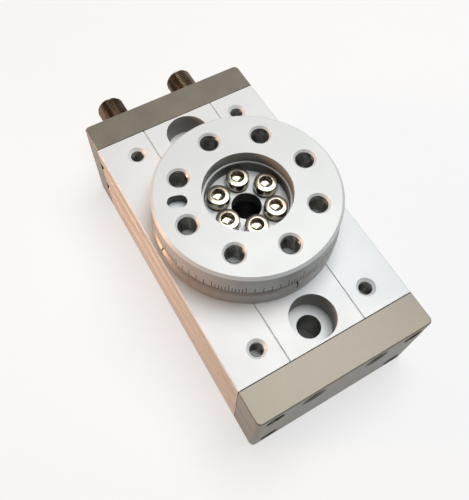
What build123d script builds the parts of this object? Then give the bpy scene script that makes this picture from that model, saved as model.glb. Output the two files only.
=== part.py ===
"""Pneumatic rotary table with two rack pistons and a hollow pinion shaft.

Two rack pistons lie side by side in the housing and turn the pinion between them. The pinion carries a
round table on top. Frame: millimetres, +Z up, origin on the table's axis in the plane of the housing's
base. +X points to the end cover with the air ports, -X to the cover with the adjusting studs. The part
stands at rest as it is pictured, REST_TURN away from the middle of the table's travel.
"""

from build123d import *
import os
from math import acos, ceil, cos, floor, hypot, pi, radians, sin, tan

# Fits
SEAT_CLEARANCE = 0.02
RUNNING_CLEARANCE = 0.05
THREAD_CLEARANCE = 0.05
SCREW_CLEARANCE = 0.2

# Gear pair: a pinion between two racks
MODULE = 1.0
PINION_TEETH = 18
PRESSURE_ANGLE = 20.0
DEDENDUM_FACTOR = 1.25
BACKLASH = 0.12
PINION_FACE_WIDTH = 16.0
TABLE_TRAVEL = 190.0
REST_TURN = -20.0
PITCH_RADIUS = MODULE * PINION_TEETH / 2
TIP_RADIUS = PITCH_RADIUS + MODULE
ROOT_RADIUS = PITCH_RADIUS - DEDENDUM_FACTOR * MODULE
TOOTH_PITCH = pi * MODULE
HALF_STROKE = PITCH_RADIUS * radians(TABLE_TRAVEL / 2)
REST_SHIFT = PITCH_RADIUS * radians(-REST_TURN)

# Lower bearing, above the recess in the housing's base
BASE_RECESS_DIAMETER = 30.0
BASE_RECESS_DEPTH = 2.0
LOWER_BEARING_BORE = 15.0
LOWER_BEARING_SECTION = 4.5
LOWER_BEARING_WIDTH = 5.0
LOWER_RACE_THICKNESS = 1.5
LOWER_LIP_HEIGHT = 2.0
LOWER_LIP_WIDTH = 2.5
SHIELD_THICKNESS = 0.7
SHIELD_GAP = 0.1
LOWER_BEARING_OUTSIDE = LOWER_BEARING_BORE + 2 * LOWER_BEARING_SECTION
LOWER_BEARING_BOTTOM = BASE_RECESS_DEPTH + LOWER_LIP_HEIGHT
LOWER_BEARING_TOP = LOWER_BEARING_BOTTOM + LOWER_BEARING_WIDTH

# Cylinders beside the pinion
BORE_DIAMETER = 20.0
RACK_PITCH_LINE_DEPTH = 1.7
COLLAR_HEIGHT = 3.0
BORE_ROOF = 1.2
BORE_OFFSET = PITCH_RADIUS + BORE_DIAMETER / 2 - RACK_PITCH_LINE_DEPTH
PISTON_RADIUS = BORE_DIAMETER / 2 - RUNNING_CLEARANCE
PINION_BOTTOM = LOWER_BEARING_TOP + COLLAR_HEIGHT
PINION_TOP = PINION_BOTTOM + PINION_FACE_WIDTH
BORE_HEIGHT = (PINION_BOTTOM + PINION_TOP) / 2

# Upper bearing, under the index ring
SHOULDER_THICKNESS = 1.3
SHOULDER_WIDTH = 1.7
SHOULDER_SPACE = 0.8
UPPER_BEARING_BORE = 40.0
UPPER_BEARING_SECTION = 6.0
UPPER_BEARING_WIDTH = 7.0
UPPER_BEARING_RECESS = 0.5
UPPER_RACE_THICKNESS = 2.0
CHAMBER_SPACE = 2.5
CHAMBER_TOP_SPACE = 0.2
UPPER_BEARING_OUTSIDE = UPPER_BEARING_BORE + 2 * UPPER_BEARING_SECTION
SHOULDER_BOTTOM = BORE_HEIGHT + BORE_DIAMETER / 2 + BORE_ROOF
UPPER_BEARING_BOTTOM = SHOULDER_BOTTOM + SHOULDER_THICKNESS
UPPER_BEARING_TOP = UPPER_BEARING_BOTTOM + UPPER_BEARING_WIDTH
CHAMBER_TOP = SHOULDER_BOTTOM - CHAMBER_TOP_SPACE

# Housing block
BODY_LENGTH = 108.4
SIDE_WALL = 8.0
BODY_EDGE_BREAK = 0.4
TOP_LINE_FROM_SIDE = 20.15
LINE_WIDTH = 0.6
LINE_DEPTH = 0.6
BODY_WIDTH = 2 * (BORE_OFFSET + BORE_DIAMETER / 2 + SIDE_WALL)
BODY_HEIGHT = UPPER_BEARING_TOP + UPPER_BEARING_RECESS
HALF_LENGTH = BODY_LENGTH / 2
HALF_WIDTH = BODY_WIDTH / 2

# Grooves and fine lines along both sides of the housing, measured down from its top
SWITCH_GROOVE_DROPS = (10.0, 24.0)
SWITCH_GROOVE_DIAMETER = 5.0
SWITCH_GROOVE_CENTRE_DEPTH = 3.4
SWITCH_GROOVE_MOUTH = 3.4
SWITCH_GROOVE_LIP = 0.9
SIDE_LINE_DROPS = (17.3, 31.1)
SIDE_LINE_WIDTH = 0.9

# Mounting holes of the housing
MOUNT_FROM_END = 9.2
MOUNT_COUNTERBORE_DIAMETER = 17.0
MOUNT_COUNTERBORE_DEPTH = 10.0
MOUNT_THROUGH_DIAMETER = 9.0
MOUNT_TAP_DIAMETER = 8.5
MOUNT_TAP_DEPTH = 14.0
TOP_TAP_FROM_SIDE = 12.8
TOP_TAP_DIAMETER = 5.0
TOP_TAP_DEPTH = 8.5
TOP_TAP_MOUTH = 7.2
DOWEL_PITCH = 60.0
DOWEL_DIAMETER = 5.0
DOWEL_DEPTH = 6.0
DOWEL_SLOT_PLAY = 1.0
MOUNT_OFFSET = HALF_LENGTH - MOUNT_FROM_END
TOP_TAP_OFFSET = HALF_WIDTH - TOP_TAP_FROM_SIDE

# End covers and gaskets
GASKET_THICKNESS = 0.35
GASKET_INSET = 0.15
COVER_THICKNESS = 12.5
COVER_CORNER_RADIUS = 2.0
COVER_EDGE_BREAK = 0.4
COVER_SCREW_FROM_SIDE = 7.0
COVER_SCREW_FROM_EDGE = 6.0
COVER_SCREW_DIAMETER = 4.0
COVER_SCREW_HEAD_DIAMETER = 7.0
COVER_SCREW_HEAD_HEIGHT = 4.0
COVER_SCREW_SOCKET = 3.0
COVER_SCREW_SOCKET_DEPTH = 2.0
COVER_SCREW_SINK = 0.4
COVER_SCREW_LENGTH = 18.0
COVER_SCREW_END_SPACE = 1.0
COVER_INNER_X = HALF_LENGTH + GASKET_THICKNESS
COVER_OUTER_X = COVER_INNER_X + COVER_THICKNESS

# Air passages: each port feeds the near end of one cylinder and the far end of the other
PASSAGE_DIAMETER = 3.0
PASSAGE_INSET = 2.8
PASSAGE_BELOW_BORE = 4.5
DROP_DIAMETER = 3.5
PASSAGE_PLUG_DIAMETER = 4.5
PASSAGE_PLUG_LENGTH = 2.5
PASSAGE_PLUG_SINK = 0.3
PORT_INSET = 1.5
PORT_FROM_TOP = 7.0
PORT_DIAMETER = 8.6
PORT_MOUTH_DIAMETER = 10.0
PORT_END_WALL = 3.5
CROSS_CHANNEL_DEPTH = 2.0
CROSS_CHANNEL_INSET = 1.7
CROSS_CHANNEL_DROP = 1.5
PASSAGE_OFFSET = BORE_OFFSET - PASSAGE_INSET
PASSAGE_HEIGHT = BORE_HEIGHT - BORE_DIAMETER / 2 - PASSAGE_BELOW_BORE
PORT_OFFSET = PASSAGE_OFFSET - PORT_INSET
PORT_HEIGHT = BODY_HEIGHT - PORT_FROM_TOP
COVER_DROP_X = COVER_INNER_X + COVER_THICKNESS / 2

# Rack pistons
RACK_END_SPACE = 0.78
RACK_HEAD_LENGTH = 13.5
RACK_SEAL_FROM_END = 3.5
RACK_SEAL_WIDTH = 2.4
RACK_SEAL_DEPTH = 1.8
RACK_WEAR_RING_FROM_END = 8.5
RACK_WEAR_RING_WIDTH = 4.0
RACK_WEAR_RING_DEPTH = 0.9
MAGNET_DIAMETER = 5.0
MAGNET_THICKNESS = 2.5
MAGNET_SINK = 0.3
MAGNET_FROM_END = 18.0
RACK_LENGTH = BODY_LENGTH - 2 * (HALF_STROKE + RACK_END_SPACE)
RACK_TOOTH_ZONE = RACK_LENGTH - 2 * RACK_HEAD_LENGTH

# Index ring
RING_FLANGE_WIDTH = 8.2
RING_SPIGOT_WIDTH = 2.3
RING_HEIGHT = 7.0
RING_CHAMFER = 0.8
RING_SCREW_COUNT = 6
RING_SCREW_FROM_BEARING = 3.5
RING_SCREW_FIRST_ANGLE = 30.0
RING_SCREW_DIAMETER = 3.0
RING_SCREW_HEAD_DIAMETER = 5.5
RING_SCREW_HEAD_HEIGHT = 3.0
RING_SCREW_SOCKET = 2.5
RING_SCREW_SOCKET_DEPTH = 1.3
RING_SCREW_SINK = 0.2
RING_SCREW_LENGTH = 9.5
RING_SCREW_END_SPACE = 0.8
DUST_SEAL_SEAT_DEPTH = 1.8
DUST_SEAL_HEIGHT = 3.0
DUST_SEAL_TOP_WALL = 1.2
RING_DIAMETER = UPPER_BEARING_OUTSIDE + 2 * RING_FLANGE_WIDTH
RING_BORE = UPPER_BEARING_OUTSIDE - 2 * RING_SPIGOT_WIDTH
RING_TOP = BODY_HEIGHT + RING_HEIGHT
RING_SCREW_SEAT = RING_TOP - RING_SCREW_SINK - RING_SCREW_HEAD_HEIGHT
DUST_SEAL_OUTSIDE = RING_BORE + 2 * DUST_SEAL_SEAT_DEPTH

# Hollow shaft and the screws that hold the table on its flange
SHAFT_BORE = 11.0
SHAFT_COLLAR_STEP = 1.0
SHAFT_END_BELOW_BEARING = 1.4
TABLE_SCREW_COUNT = 6
TABLE_SCREW_FIRST_ANGLE = 45.0
TABLE_SCREW_DIAMETER = 5.0
TABLE_SCREW_HEAD_DIAMETER = 8.4
TABLE_SCREW_HEAD_HEIGHT = 5.0
TABLE_SCREW_SOCKET = 4.0
TABLE_SCREW_SOCKET_DEPTH = 2.5
TABLE_SCREW_LENGTH = 12.0
TABLE_SCREW_END_SPACE = 1.0
SPOT_FACE_SPACE = 0.4
SPOT_FACE_DEPTH = 0.8
SPOT_FACE_FROM_BORE = 0.25
SPOT_FACE_DIAMETER = TABLE_SCREW_HEAD_DIAMETER + 2 * SPOT_FACE_SPACE
TABLE_SCREW_RADIUS = SHAFT_BORE / 2 + SPOT_FACE_FROM_BORE + SPOT_FACE_DIAMETER / 2

# Table
TABLE_INSET = 0.7
TABLE_THICKNESS = 10.8
TABLE_GAP = 0.5
TABLE_CHAMFER = 1.0
TABLE_LOWER_CHAMFER = 0.3
TABLE_REST_ANGLE = 3.8
TABLE_TAP_COUNT = 8
TABLE_TAP_FROM_RIM = 9.0
TABLE_TAP_DIAMETER = 6.8
TABLE_TAP_FLOOR = 1.8
TABLE_TAP_MOUTH = 8.3
TABLE_SLOT_ANGLE = 247.5
TABLE_SLOT_WIDTH = 5.0
TABLE_SLOT_LENGTH = 7.0
TABLE_SLOT_DEPTH = 4.0
RECESS_SPACE = 0.35
RECESS_STEP = 0.7
RECESS_UPPER_DEPTH = 5.0
RECESS_DEPTH = 10.1
TABLE_FLOOR_THICKNESS = 5.4
TABLE_BOSS_WALL = 1.8
TABLE_DOWEL_DIAMETER = 3.0
TABLE_DOWEL_LENGTH = 6.0
TABLE_DOWEL_FROM_RECESS = 1.2
TABLE_DIAMETER = RING_DIAMETER - 2 * TABLE_INSET
TABLE_BOTTOM = RING_TOP + TABLE_GAP
TABLE_TOP = TABLE_BOTTOM + TABLE_THICKNESS
TABLE_TAP_RADIUS = TABLE_DIAMETER / 2 - TABLE_TAP_FROM_RIM
RECESS_FLOOR = TABLE_TOP - RECESS_DEPTH
SPOT_FACE_LEVEL = RECESS_FLOOR - SPOT_FACE_DEPTH
FLANGE_TOP = RECESS_FLOOR - TABLE_FLOOR_THICKNESS
LOWER_RECESS_RADIUS = TABLE_SCREW_RADIUS + SPOT_FACE_DIAMETER / 2 + RECESS_SPACE
UPPER_RECESS_RADIUS = LOWER_RECESS_RADIUS + RECESS_STEP
BOSS_RADIUS = UPPER_BEARING_BORE / 2 + TABLE_BOSS_WALL
TABLE_DOWEL_RADIUS = LOWER_RECESS_RADIUS + TABLE_DOWEL_FROM_RECESS

# Adjusting studs through the far cover
STUD_DIAMETER = 12.0
STUD_PROTRUSION = 22.4
STUD_END_CHAMFER = 0.8
STUD_SOCKET = 6.0
STUD_SOCKET_DEPTH = 7.0
STOP_GAP = 0.2
PAD_DIAMETER = 7.0
PAD_THICKNESS = 2.0
PAD_STANDOUT = 0.5
LOCK_NUT_WALL = 2.5
LOCK_NUT_THICKNESS = 6.0
LOCK_NUT_CHAMFER_ANGLE = 30.0
WASHER_WALL = 2.5
WASHER_THICKNESS = 1.5
STUD_OUTER_X = -(COVER_OUTER_X + STUD_PROTRUSION)
PAD_TIP_X = -(RACK_LENGTH / 2 + HALF_STROKE + STOP_GAP)
STUD_TIP_X = PAD_TIP_X - PAD_STANDOUT

NEAR, FAR = 1, -1
SIDE_OF = {"a": 1, "b": -1}


def rod_x(diameter, x_low, x_high, y, z):
    """A round bar along X."""
    bar = Cylinder(diameter / 2, x_high - x_low, rotation=(0, 90, 0))
    return Pos((x_low + x_high) / 2, y, z) * bar


def rod_y(diameter, y_low, y_high, x, z):
    """A round bar along Y."""
    bar = Cylinder(diameter / 2, y_high - y_low, rotation=(90, 0, 0))
    return Pos(x, (y_low + y_high) / 2, z) * bar


def rod_z(diameter, z_low, z_high, x=0.0, y=0.0):
    """A round bar along Z."""
    return Pos(x, y, (z_low + z_high) / 2) * Cylinder(diameter / 2, z_high - z_low)


def turned(*points):
    """A body turned about Z from its (radius, height) outline."""
    outline = make_face(Plane.XZ * Polyline(*points, close=True))
    return revolve(outline, Axis.Z)


def prism_x(points, x_low, x_high):
    """A bar along X with a (y, z) outline."""
    plane = Plane(origin=(x_low, 0, 0), x_dir=(0, 1, 0), z_dir=(1, 0, 0))
    outline = make_face(plane * Polyline(*points, close=True))
    return extrude(outline, x_high - x_low, dir=(1, 0, 0))


def slab(x_low, x_high, width, z_low, z_high):
    """A rectangular block, centred on the XZ plane."""
    block = Box(x_high - x_low, width, z_high - z_low)
    return Pos((x_low + x_high) / 2, 0, (z_low + z_high) / 2) * block


def on_circle(radius, angle):
    """The point at an angle on a circle about the table's axis."""
    return radius * cos(radians(angle)), radius * sin(radians(angle))


def circle_angles(count, first):
    """Evenly spaced angles round a full circle."""
    return [first + 360.0 * index / count for index in range(count)]


def hole_mouth(mouth_diameter, hole_diameter, z_top, x, y):
    """The 45 degree countersink that opens a drilled hole in a top face."""
    depth = (mouth_diameter - hole_diameter) / 2
    cone = Cone(hole_diameter / 2, mouth_diameter / 2, depth)
    return Pos(x, y, z_top - depth / 2) * cone


def hexagon_bar(across_flats, length):
    """A six-sided bar along Z, from 0 up to its length."""
    return extrude(RegularPolygon(across_flats / 2, 6, major_radius=False), length)


def cap_screw(diameter, length, head_diameter, head_height, socket, socket_depth):
    """A socket head cap screw along -Z, with its head's seat at the origin."""
    head = rod_z(head_diameter, 0, head_height)
    shank = rod_z(diameter, -length, 0)
    key_hole = Pos(0, 0, head_height - socket_depth) * hexagon_bar(socket, socket_depth)
    return head + shank - key_hole


def channel_x(start, end, width, x_low, x_high):
    """A channel with round ends between two (y, z) points, cut along X."""
    (start_y, start_z), (end_y, end_z) = start, end
    run = hypot(end_y - start_y, end_z - start_z)
    across_y = width / 2 * (end_z - start_z) / run
    across_z = width / 2 * (start_y - end_y) / run
    corners = [
        (start_y + across_y, start_z + across_z),
        (end_y + across_y, end_z + across_z),
        (end_y - across_y, end_z - across_z),
        (start_y - across_y, start_z - across_z),
    ]
    ends = [rod_x(width, x_low, x_high, y, z) for y, z in (start, end)]
    return [prism_x(corners, x_low, x_high), *ends]


def cover_screw_places():
    """The (y, z) places of the screws in an end cover."""
    y = HALF_WIDTH - COVER_SCREW_FROM_SIDE
    heights = (BODY_HEIGHT - COVER_SCREW_FROM_EDGE, COVER_SCREW_FROM_EDGE)
    return [(side * y, z) for z in heights for side in (1, -1)]


def bore_places():
    """The y offsets of the two cylinders."""
    return (BORE_OFFSET, -BORE_OFFSET)


def ring_screw_places():
    """The (x, y) places of the screws in the index ring."""
    radius = UPPER_BEARING_OUTSIDE / 2 + RING_SCREW_FROM_BEARING
    return [on_circle(radius, angle) for angle in circle_angles(RING_SCREW_COUNT, RING_SCREW_FIRST_ANGLE)]


def table_screw_places():
    """The (x, y) places of the table's screws in the flange."""
    first = TABLE_REST_ANGLE + TABLE_SCREW_FIRST_ANGLE
    return [on_circle(TABLE_SCREW_RADIUS, angle) for angle in circle_angles(TABLE_SCREW_COUNT, first)]


def switch_groove(side, drop):
    """The undercut groove that takes a position switch, so far below the housing's top."""
    height = BODY_HEIGHT - drop
    face_y = side * HALF_WIDTH
    centre_y = side * (HALF_WIDTH - SWITCH_GROOVE_CENTRE_DEPTH)
    half_mouth = SWITCH_GROOVE_MOUTH / 2
    half_lip = half_mouth + SWITCH_GROOVE_LIP
    lip_y = side * (HALF_WIDTH - SWITCH_GROOVE_LIP)
    throat = [
        (face_y, height - half_lip),
        (face_y, height + half_lip),
        (lip_y, height + half_mouth),
        (centre_y, height + half_mouth),
        (centre_y, height - half_mouth),
        (lip_y, height - half_mouth),
    ]
    bottom = rod_x(SWITCH_GROOVE_DIAMETER, -HALF_LENGTH, HALF_LENGTH, centre_y, height)
    return [prism_x(throat, -HALF_LENGTH, HALF_LENGTH), bottom]


def side_line(side, drop, x_low, x_high):
    """A fine V-shaped line along a side face, so far below the top."""
    height = BODY_HEIGHT - drop
    face_y = side * HALF_WIDTH
    half = SIDE_LINE_WIDTH / 2
    points = [(face_y, height - half), (face_y, height + half), (face_y - side * half, height)]
    return prism_x(points, x_low, x_high)


def top_line(side):
    """A fine V-shaped line along the housing's top."""
    centre = side * (HALF_WIDTH - TOP_LINE_FROM_SIDE)
    half = LINE_WIDTH / 2
    points = [
        (centre - half, BODY_HEIGHT),
        (centre + half, BODY_HEIGHT),
        (centre, BODY_HEIGHT - LINE_DEPTH),
    ]
    return prism_x(points, -HALF_LENGTH, HALF_LENGTH)


def shaft_cavity():
    """The stepped space for the shaft and its bearings, turned about the table's axis."""
    lower_seat = LOWER_BEARING_OUTSIDE / 2 + SEAT_CLEARANCE
    upper_seat = UPPER_BEARING_OUTSIDE / 2 + SEAT_CLEARANCE
    lip = LOWER_BEARING_OUTSIDE / 2 - LOWER_LIP_WIDTH
    chamber = TIP_RADIUS + CHAMBER_SPACE
    shoulder_space = UPPER_BEARING_BORE / 2 + SHOULDER_WIDTH + SHOULDER_SPACE
    return turned(
        (0, 0),
        (BASE_RECESS_DIAMETER / 2, 0),
        (BASE_RECESS_DIAMETER / 2, BASE_RECESS_DEPTH),
        (lip, BASE_RECESS_DEPTH),
        (lip, LOWER_BEARING_BOTTOM),
        (lower_seat, LOWER_BEARING_BOTTOM),
        (lower_seat, LOWER_BEARING_TOP),
        (chamber, LOWER_BEARING_TOP),
        (chamber, CHAMBER_TOP),
        (shoulder_space, CHAMBER_TOP),
        (shoulder_space, UPPER_BEARING_BOTTOM),
        (upper_seat, UPPER_BEARING_BOTTOM),
        (upper_seat, BODY_HEIGHT),
        (0, BODY_HEIGHT),
    )


def mounting_holes():
    """Counterbored through holes with a thread from below, at both ends of the housing."""
    cuts = []
    step = BODY_HEIGHT - MOUNT_COUNTERBORE_DEPTH
    for x in (-MOUNT_OFFSET, MOUNT_OFFSET):
        cuts.append(rod_z(MOUNT_COUNTERBORE_DIAMETER, step, BODY_HEIGHT, x))
        cuts.append(rod_z(MOUNT_THROUGH_DIAMETER, MOUNT_TAP_DEPTH, step, x))
        cuts.append(rod_z(MOUNT_TAP_DIAMETER, 0, MOUNT_TAP_DEPTH, x))
    return cuts


def top_taps():
    """Four blind tapped holes in the housing's top, in line with the mounting holes."""
    cuts = []
    for x in (-MOUNT_OFFSET, MOUNT_OFFSET):
        for y in (-TOP_TAP_OFFSET, TOP_TAP_OFFSET):
            cuts.append(rod_z(TOP_TAP_DIAMETER, BODY_HEIGHT - TOP_TAP_DEPTH, BODY_HEIGHT, x, y))
            cuts.append(hole_mouth(TOP_TAP_MOUTH, TOP_TAP_DIAMETER, BODY_HEIGHT, x, y))
    return cuts


def cover_screw_holes_in_body():
    """Tapped holes for the cover screws in both ends of the housing."""
    diameter = COVER_SCREW_DIAMETER + 2 * THREAD_CLEARANCE
    seat_x = COVER_OUTER_X - COVER_SCREW_HEAD_HEIGHT - COVER_SCREW_SINK
    depth_x = seat_x - COVER_SCREW_LENGTH - COVER_SCREW_END_SPACE
    cuts = []
    for y, z in cover_screw_places():
        cuts.append(rod_x(diameter, depth_x, HALF_LENGTH, y, z))
        cuts.append(rod_x(diameter, -HALF_LENGTH, -depth_x, y, z))
    return cuts


def ring_screw_holes_in_body():
    """Tapped holes for the index ring's screws."""
    diameter = RING_SCREW_DIAMETER + 2 * THREAD_CLEARANCE
    bottom = RING_SCREW_SEAT - RING_SCREW_LENGTH - RING_SCREW_END_SPACE
    return [rod_z(diameter, bottom, BODY_HEIGHT, x, y) for x, y in ring_screw_places()]


def dowel_holes():
    """A round hole and a short slot in the base, which place the housing without strain."""
    slot = extrude(SlotOverall(DOWEL_DIAMETER + DOWEL_SLOT_PLAY, DOWEL_DIAMETER), DOWEL_DEPTH)
    return [rod_z(DOWEL_DIAMETER, 0, DOWEL_DEPTH, DOWEL_PITCH / 2), Pos(-DOWEL_PITCH / 2, 0, 0) * slot]


def cross_channel(side, x_low, x_high):
    """The channel from one side's passage to the mouth of the other side's cylinder."""
    start = (side * PASSAGE_OFFSET, PASSAGE_HEIGHT)
    end_y = -side * (BORE_OFFSET - BORE_DIAMETER / 2 + CROSS_CHANNEL_INSET)
    return channel_x(start, (end_y, BORE_HEIGHT - CROSS_CHANNEL_DROP), PASSAGE_DIAMETER, x_low, x_high)


def housing():
    """The aluminium block that holds the cylinders, the bearings and all mounting holes."""
    block = slab(-HALF_LENGTH, HALF_LENGTH, BODY_WIDTH, 0, BODY_HEIGHT)
    block = chamfer(block.edges().filter_by(Axis.X), BODY_EDGE_BREAK)
    cuts = [shaft_cavity()]
    cuts += [rod_x(BORE_DIAMETER, -HALF_LENGTH, HALF_LENGTH, y, BORE_HEIGHT) for y in bore_places()]
    cuts += mounting_holes() + top_taps() + cover_screw_holes_in_body() + ring_screw_holes_in_body()
    for y in (PASSAGE_OFFSET, -PASSAGE_OFFSET):
        cuts.append(rod_x(PASSAGE_DIAMETER, -HALF_LENGTH, HALF_LENGTH, y, PASSAGE_HEIGHT))
    cuts += dowel_holes() + cross_channel(-1, -HALF_LENGTH, CROSS_CHANNEL_DEPTH - HALF_LENGTH)
    for side in (1, -1):
        cuts.append(top_line(side))
        for drop in SWITCH_GROOVE_DROPS:
            cuts += switch_groove(side, drop)
        for drop in SIDE_LINE_DROPS:
            cuts.append(side_line(side, drop, -HALF_LENGTH, HALF_LENGTH))
    return block - cuts


def cover_blank(end):
    """An end cover's block with rounded outer corners and broken edges."""
    x_low, x_high = sorted((end * COVER_INNER_X, end * COVER_OUTER_X))
    block = slab(x_low, x_high, BODY_WIDTH, 0, BODY_HEIGHT)
    uprights = block.edges().filter_by(Axis.Z).sort_by(Axis.X)
    outer_uprights = uprights[-2:] if end > 0 else uprights[:2]
    block = fillet(outer_uprights, COVER_CORNER_RADIUS)
    inner_x = end * COVER_INNER_X
    for level in (Axis.Z, -Axis.Z):
        face = block.faces().sort_by(level)[-1]
        rim = [edge for edge in face.edges() if abs(edge.center().X - inner_x) > COVER_EDGE_BREAK]
        block = chamfer(rim, COVER_EDGE_BREAK)
    return block


def cover_screw_cuts(end):
    """Counterbores and clearance holes for the cover screws."""
    seat = COVER_OUTER_X - COVER_SCREW_HEAD_HEIGHT - COVER_SCREW_SINK
    cuts = []
    for y, z in cover_screw_places():
        for diameter, near_x, far_x in (
            (COVER_SCREW_HEAD_DIAMETER + 2 * SCREW_CLEARANCE, seat, COVER_OUTER_X),
            (COVER_SCREW_DIAMETER + 2 * SCREW_CLEARANCE, COVER_INNER_X, seat),
        ):
            x_low, x_high = sorted((end * near_x, end * far_x))
            cuts.append(rod_x(diameter, x_low, x_high, y, z))
    return cuts


def cover_side_lines(end):
    """The housing's fine side lines, carried on round the cover."""
    x_low, x_high = sorted((end * COVER_INNER_X, end * (COVER_OUTER_X - COVER_CORNER_RADIUS)))
    return [side_line(side, drop, x_low, x_high) for side in (1, -1) for drop in SIDE_LINE_DROPS]


def near_end_cover():
    """The cover with the two air ports."""
    cuts = cover_screw_cuts(NEAR) + cover_side_lines(NEAR)
    port_bottom = COVER_INNER_X + PORT_END_WALL
    mouth_depth = (PORT_MOUTH_DIAMETER - PORT_DIAMETER) / 2
    for side in (1, -1):
        y = side * PORT_OFFSET
        drop_y = side * PASSAGE_OFFSET
        cuts.append(rod_x(PORT_DIAMETER, port_bottom, COVER_OUTER_X, y, PORT_HEIGHT))
        mouth = Cone(PORT_DIAMETER / 2, PORT_MOUTH_DIAMETER / 2, mouth_depth, rotation=(0, 90, 0))
        cuts.append(Pos(COVER_OUTER_X - mouth_depth / 2, y, PORT_HEIGHT) * mouth)
        cuts.append(rod_z(DROP_DIAMETER, 0, PORT_HEIGHT, COVER_DROP_X, drop_y))
        cuts.append(rod_z(PASSAGE_PLUG_DIAMETER, 0, PASSAGE_PLUG_LENGTH, COVER_DROP_X, drop_y))
        for z in (BORE_HEIGHT, PASSAGE_HEIGHT):
            cuts.append(rod_x(PASSAGE_DIAMETER, COVER_INNER_X, COVER_DROP_X, drop_y, z))
    return cover_blank(NEAR) - cuts


def far_end_cover():
    """The cover that the two adjusting studs screw through."""
    cuts = cover_screw_cuts(FAR) + cover_side_lines(FAR)
    diameter = STUD_DIAMETER + 2 * THREAD_CLEARANCE
    cuts += [rod_x(diameter, -COVER_OUTER_X, -COVER_INNER_X, y, BORE_HEIGHT) for y in bore_places()]
    cuts += cross_channel(1, -COVER_INNER_X - CROSS_CHANNEL_DEPTH, -COVER_INNER_X)
    return cover_blank(FAR) - cuts


def gasket(end):
    """The thin sealing sheet between the housing and a cover; it parts the two far channels."""
    x_low, x_high = sorted((end * HALF_LENGTH, end * COVER_INNER_X))
    sheet = slab(x_low, x_high, BODY_WIDTH - 2 * GASKET_INSET, GASKET_INSET, BODY_HEIGHT - GASKET_INSET)
    cuts = [rod_x(BORE_DIAMETER, x_low, x_high, y, BORE_HEIGHT) for y in bore_places()]
    hole = COVER_SCREW_DIAMETER + 2 * SCREW_CLEARANCE
    cuts += [rod_x(hole, x_low, x_high, y, z) for y, z in cover_screw_places()]
    passages = (PASSAGE_OFFSET, -PASSAGE_OFFSET) if end == NEAR else (PASSAGE_OFFSET,)
    cuts += [rod_x(PASSAGE_DIAMETER, x_low, x_high, y, PASSAGE_HEIGHT) for y in passages]
    return sheet - cuts


def cover_screws(end):
    """The four socket head screws of one cover."""
    screw = cap_screw(
        COVER_SCREW_DIAMETER,
        COVER_SCREW_LENGTH,
        COVER_SCREW_HEAD_DIAMETER,
        COVER_SCREW_HEAD_HEIGHT,
        COVER_SCREW_SOCKET,
        COVER_SCREW_SOCKET_DEPTH,
    )
    seat = end * (COVER_OUTER_X - COVER_SCREW_HEAD_HEIGHT - COVER_SCREW_SINK)
    return [Pos(seat, y, z) * Rot(0, end * 90, 0) * screw for y, z in cover_screw_places()]


def passage_plugs():
    """Press-in plugs that close the upright air drillings at the cover's underside."""
    diameter = PASSAGE_PLUG_DIAMETER - 2 * SEAT_CLEARANCE
    return [
        rod_z(diameter, PASSAGE_PLUG_SINK, PASSAGE_PLUG_LENGTH, COVER_DROP_X, y)
        for y in (PASSAGE_OFFSET, -PASSAGE_OFFSET)
    ]


def index_ring():
    """The ring that clamps the upper bearing and carries the index lines."""
    outer = RING_DIAMETER / 2
    inner = RING_BORE / 2
    spigot = UPPER_BEARING_OUTSIDE / 2 - SEAT_CLEARANCE
    seal_top = RING_TOP - DUST_SEAL_TOP_WALL
    seal_bottom = seal_top - DUST_SEAL_HEIGHT
    seal_seat = DUST_SEAL_OUTSIDE / 2 + SEAT_CLEARANCE
    ring = turned(
        (inner, UPPER_BEARING_TOP),
        (spigot, UPPER_BEARING_TOP),
        (spigot, BODY_HEIGHT),
        (outer, BODY_HEIGHT),
        (outer, RING_TOP - RING_CHAMFER),
        (outer - RING_CHAMFER, RING_TOP),
        (inner, RING_TOP),
        (inner, seal_top),
        (seal_seat, seal_top),
        (seal_seat, seal_bottom),
        (inner, seal_bottom),
    )
    cuts = []
    for x, y in ring_screw_places():
        cuts.append(rod_z(RING_SCREW_HEAD_DIAMETER + 2 * SCREW_CLEARANCE, RING_SCREW_SEAT, RING_TOP, x, y))
        cuts.append(rod_z(RING_SCREW_DIAMETER + 2 * SCREW_CLEARANCE, BODY_HEIGHT, RING_SCREW_SEAT, x, y))
    return ring - cuts


def index_ring_screws():
    """The screws that hold the index ring on the housing."""
    screw = cap_screw(
        RING_SCREW_DIAMETER,
        RING_SCREW_LENGTH,
        RING_SCREW_HEAD_DIAMETER,
        RING_SCREW_HEAD_HEIGHT,
        RING_SCREW_SOCKET,
        RING_SCREW_SOCKET_DEPTH,
    )
    return [Pos(x, y, RING_SCREW_SEAT) * screw for x, y in ring_screw_places()]


def dust_seal():
    """The lip seal between the index ring and the table's boss."""
    top = RING_TOP - DUST_SEAL_TOP_WALL - SEAT_CLEARANCE
    bottom = top - DUST_SEAL_HEIGHT + 2 * SEAT_CLEARANCE
    lip = BOSS_RADIUS + RUNNING_CLEARANCE
    seat = DUST_SEAL_OUTSIDE / 2
    neck = RING_BORE / 2
    return turned((seat, bottom), (seat, top), (neck, top), (lip, top), (neck, bottom))


def outer_race(bore, outside, race, width, bottom):
    """A bearing's outer race with its two shields, which hide the balls."""
    top = bottom + width
    outer = outside / 2
    track = outer - race
    lip = bore / 2 + race + SHIELD_GAP
    return turned(
        (outer, bottom),
        (outer, top),
        (lip, top),
        (lip, top - SHIELD_THICKNESS),
        (track, top - SHIELD_THICKNESS),
        (track, bottom + SHIELD_THICKNESS),
        (lip, bottom + SHIELD_THICKNESS),
        (lip, bottom),
    )


def inner_race(bore, race, width, bottom):
    """A bearing's inner race, a seat's clearance clear of its shaft."""
    inner = bore / 2 + SEAT_CLEARANCE
    outer = bore / 2 + race
    return turned((inner, bottom), (inner, bottom + width), (outer, bottom + width), (outer, bottom))


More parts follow.
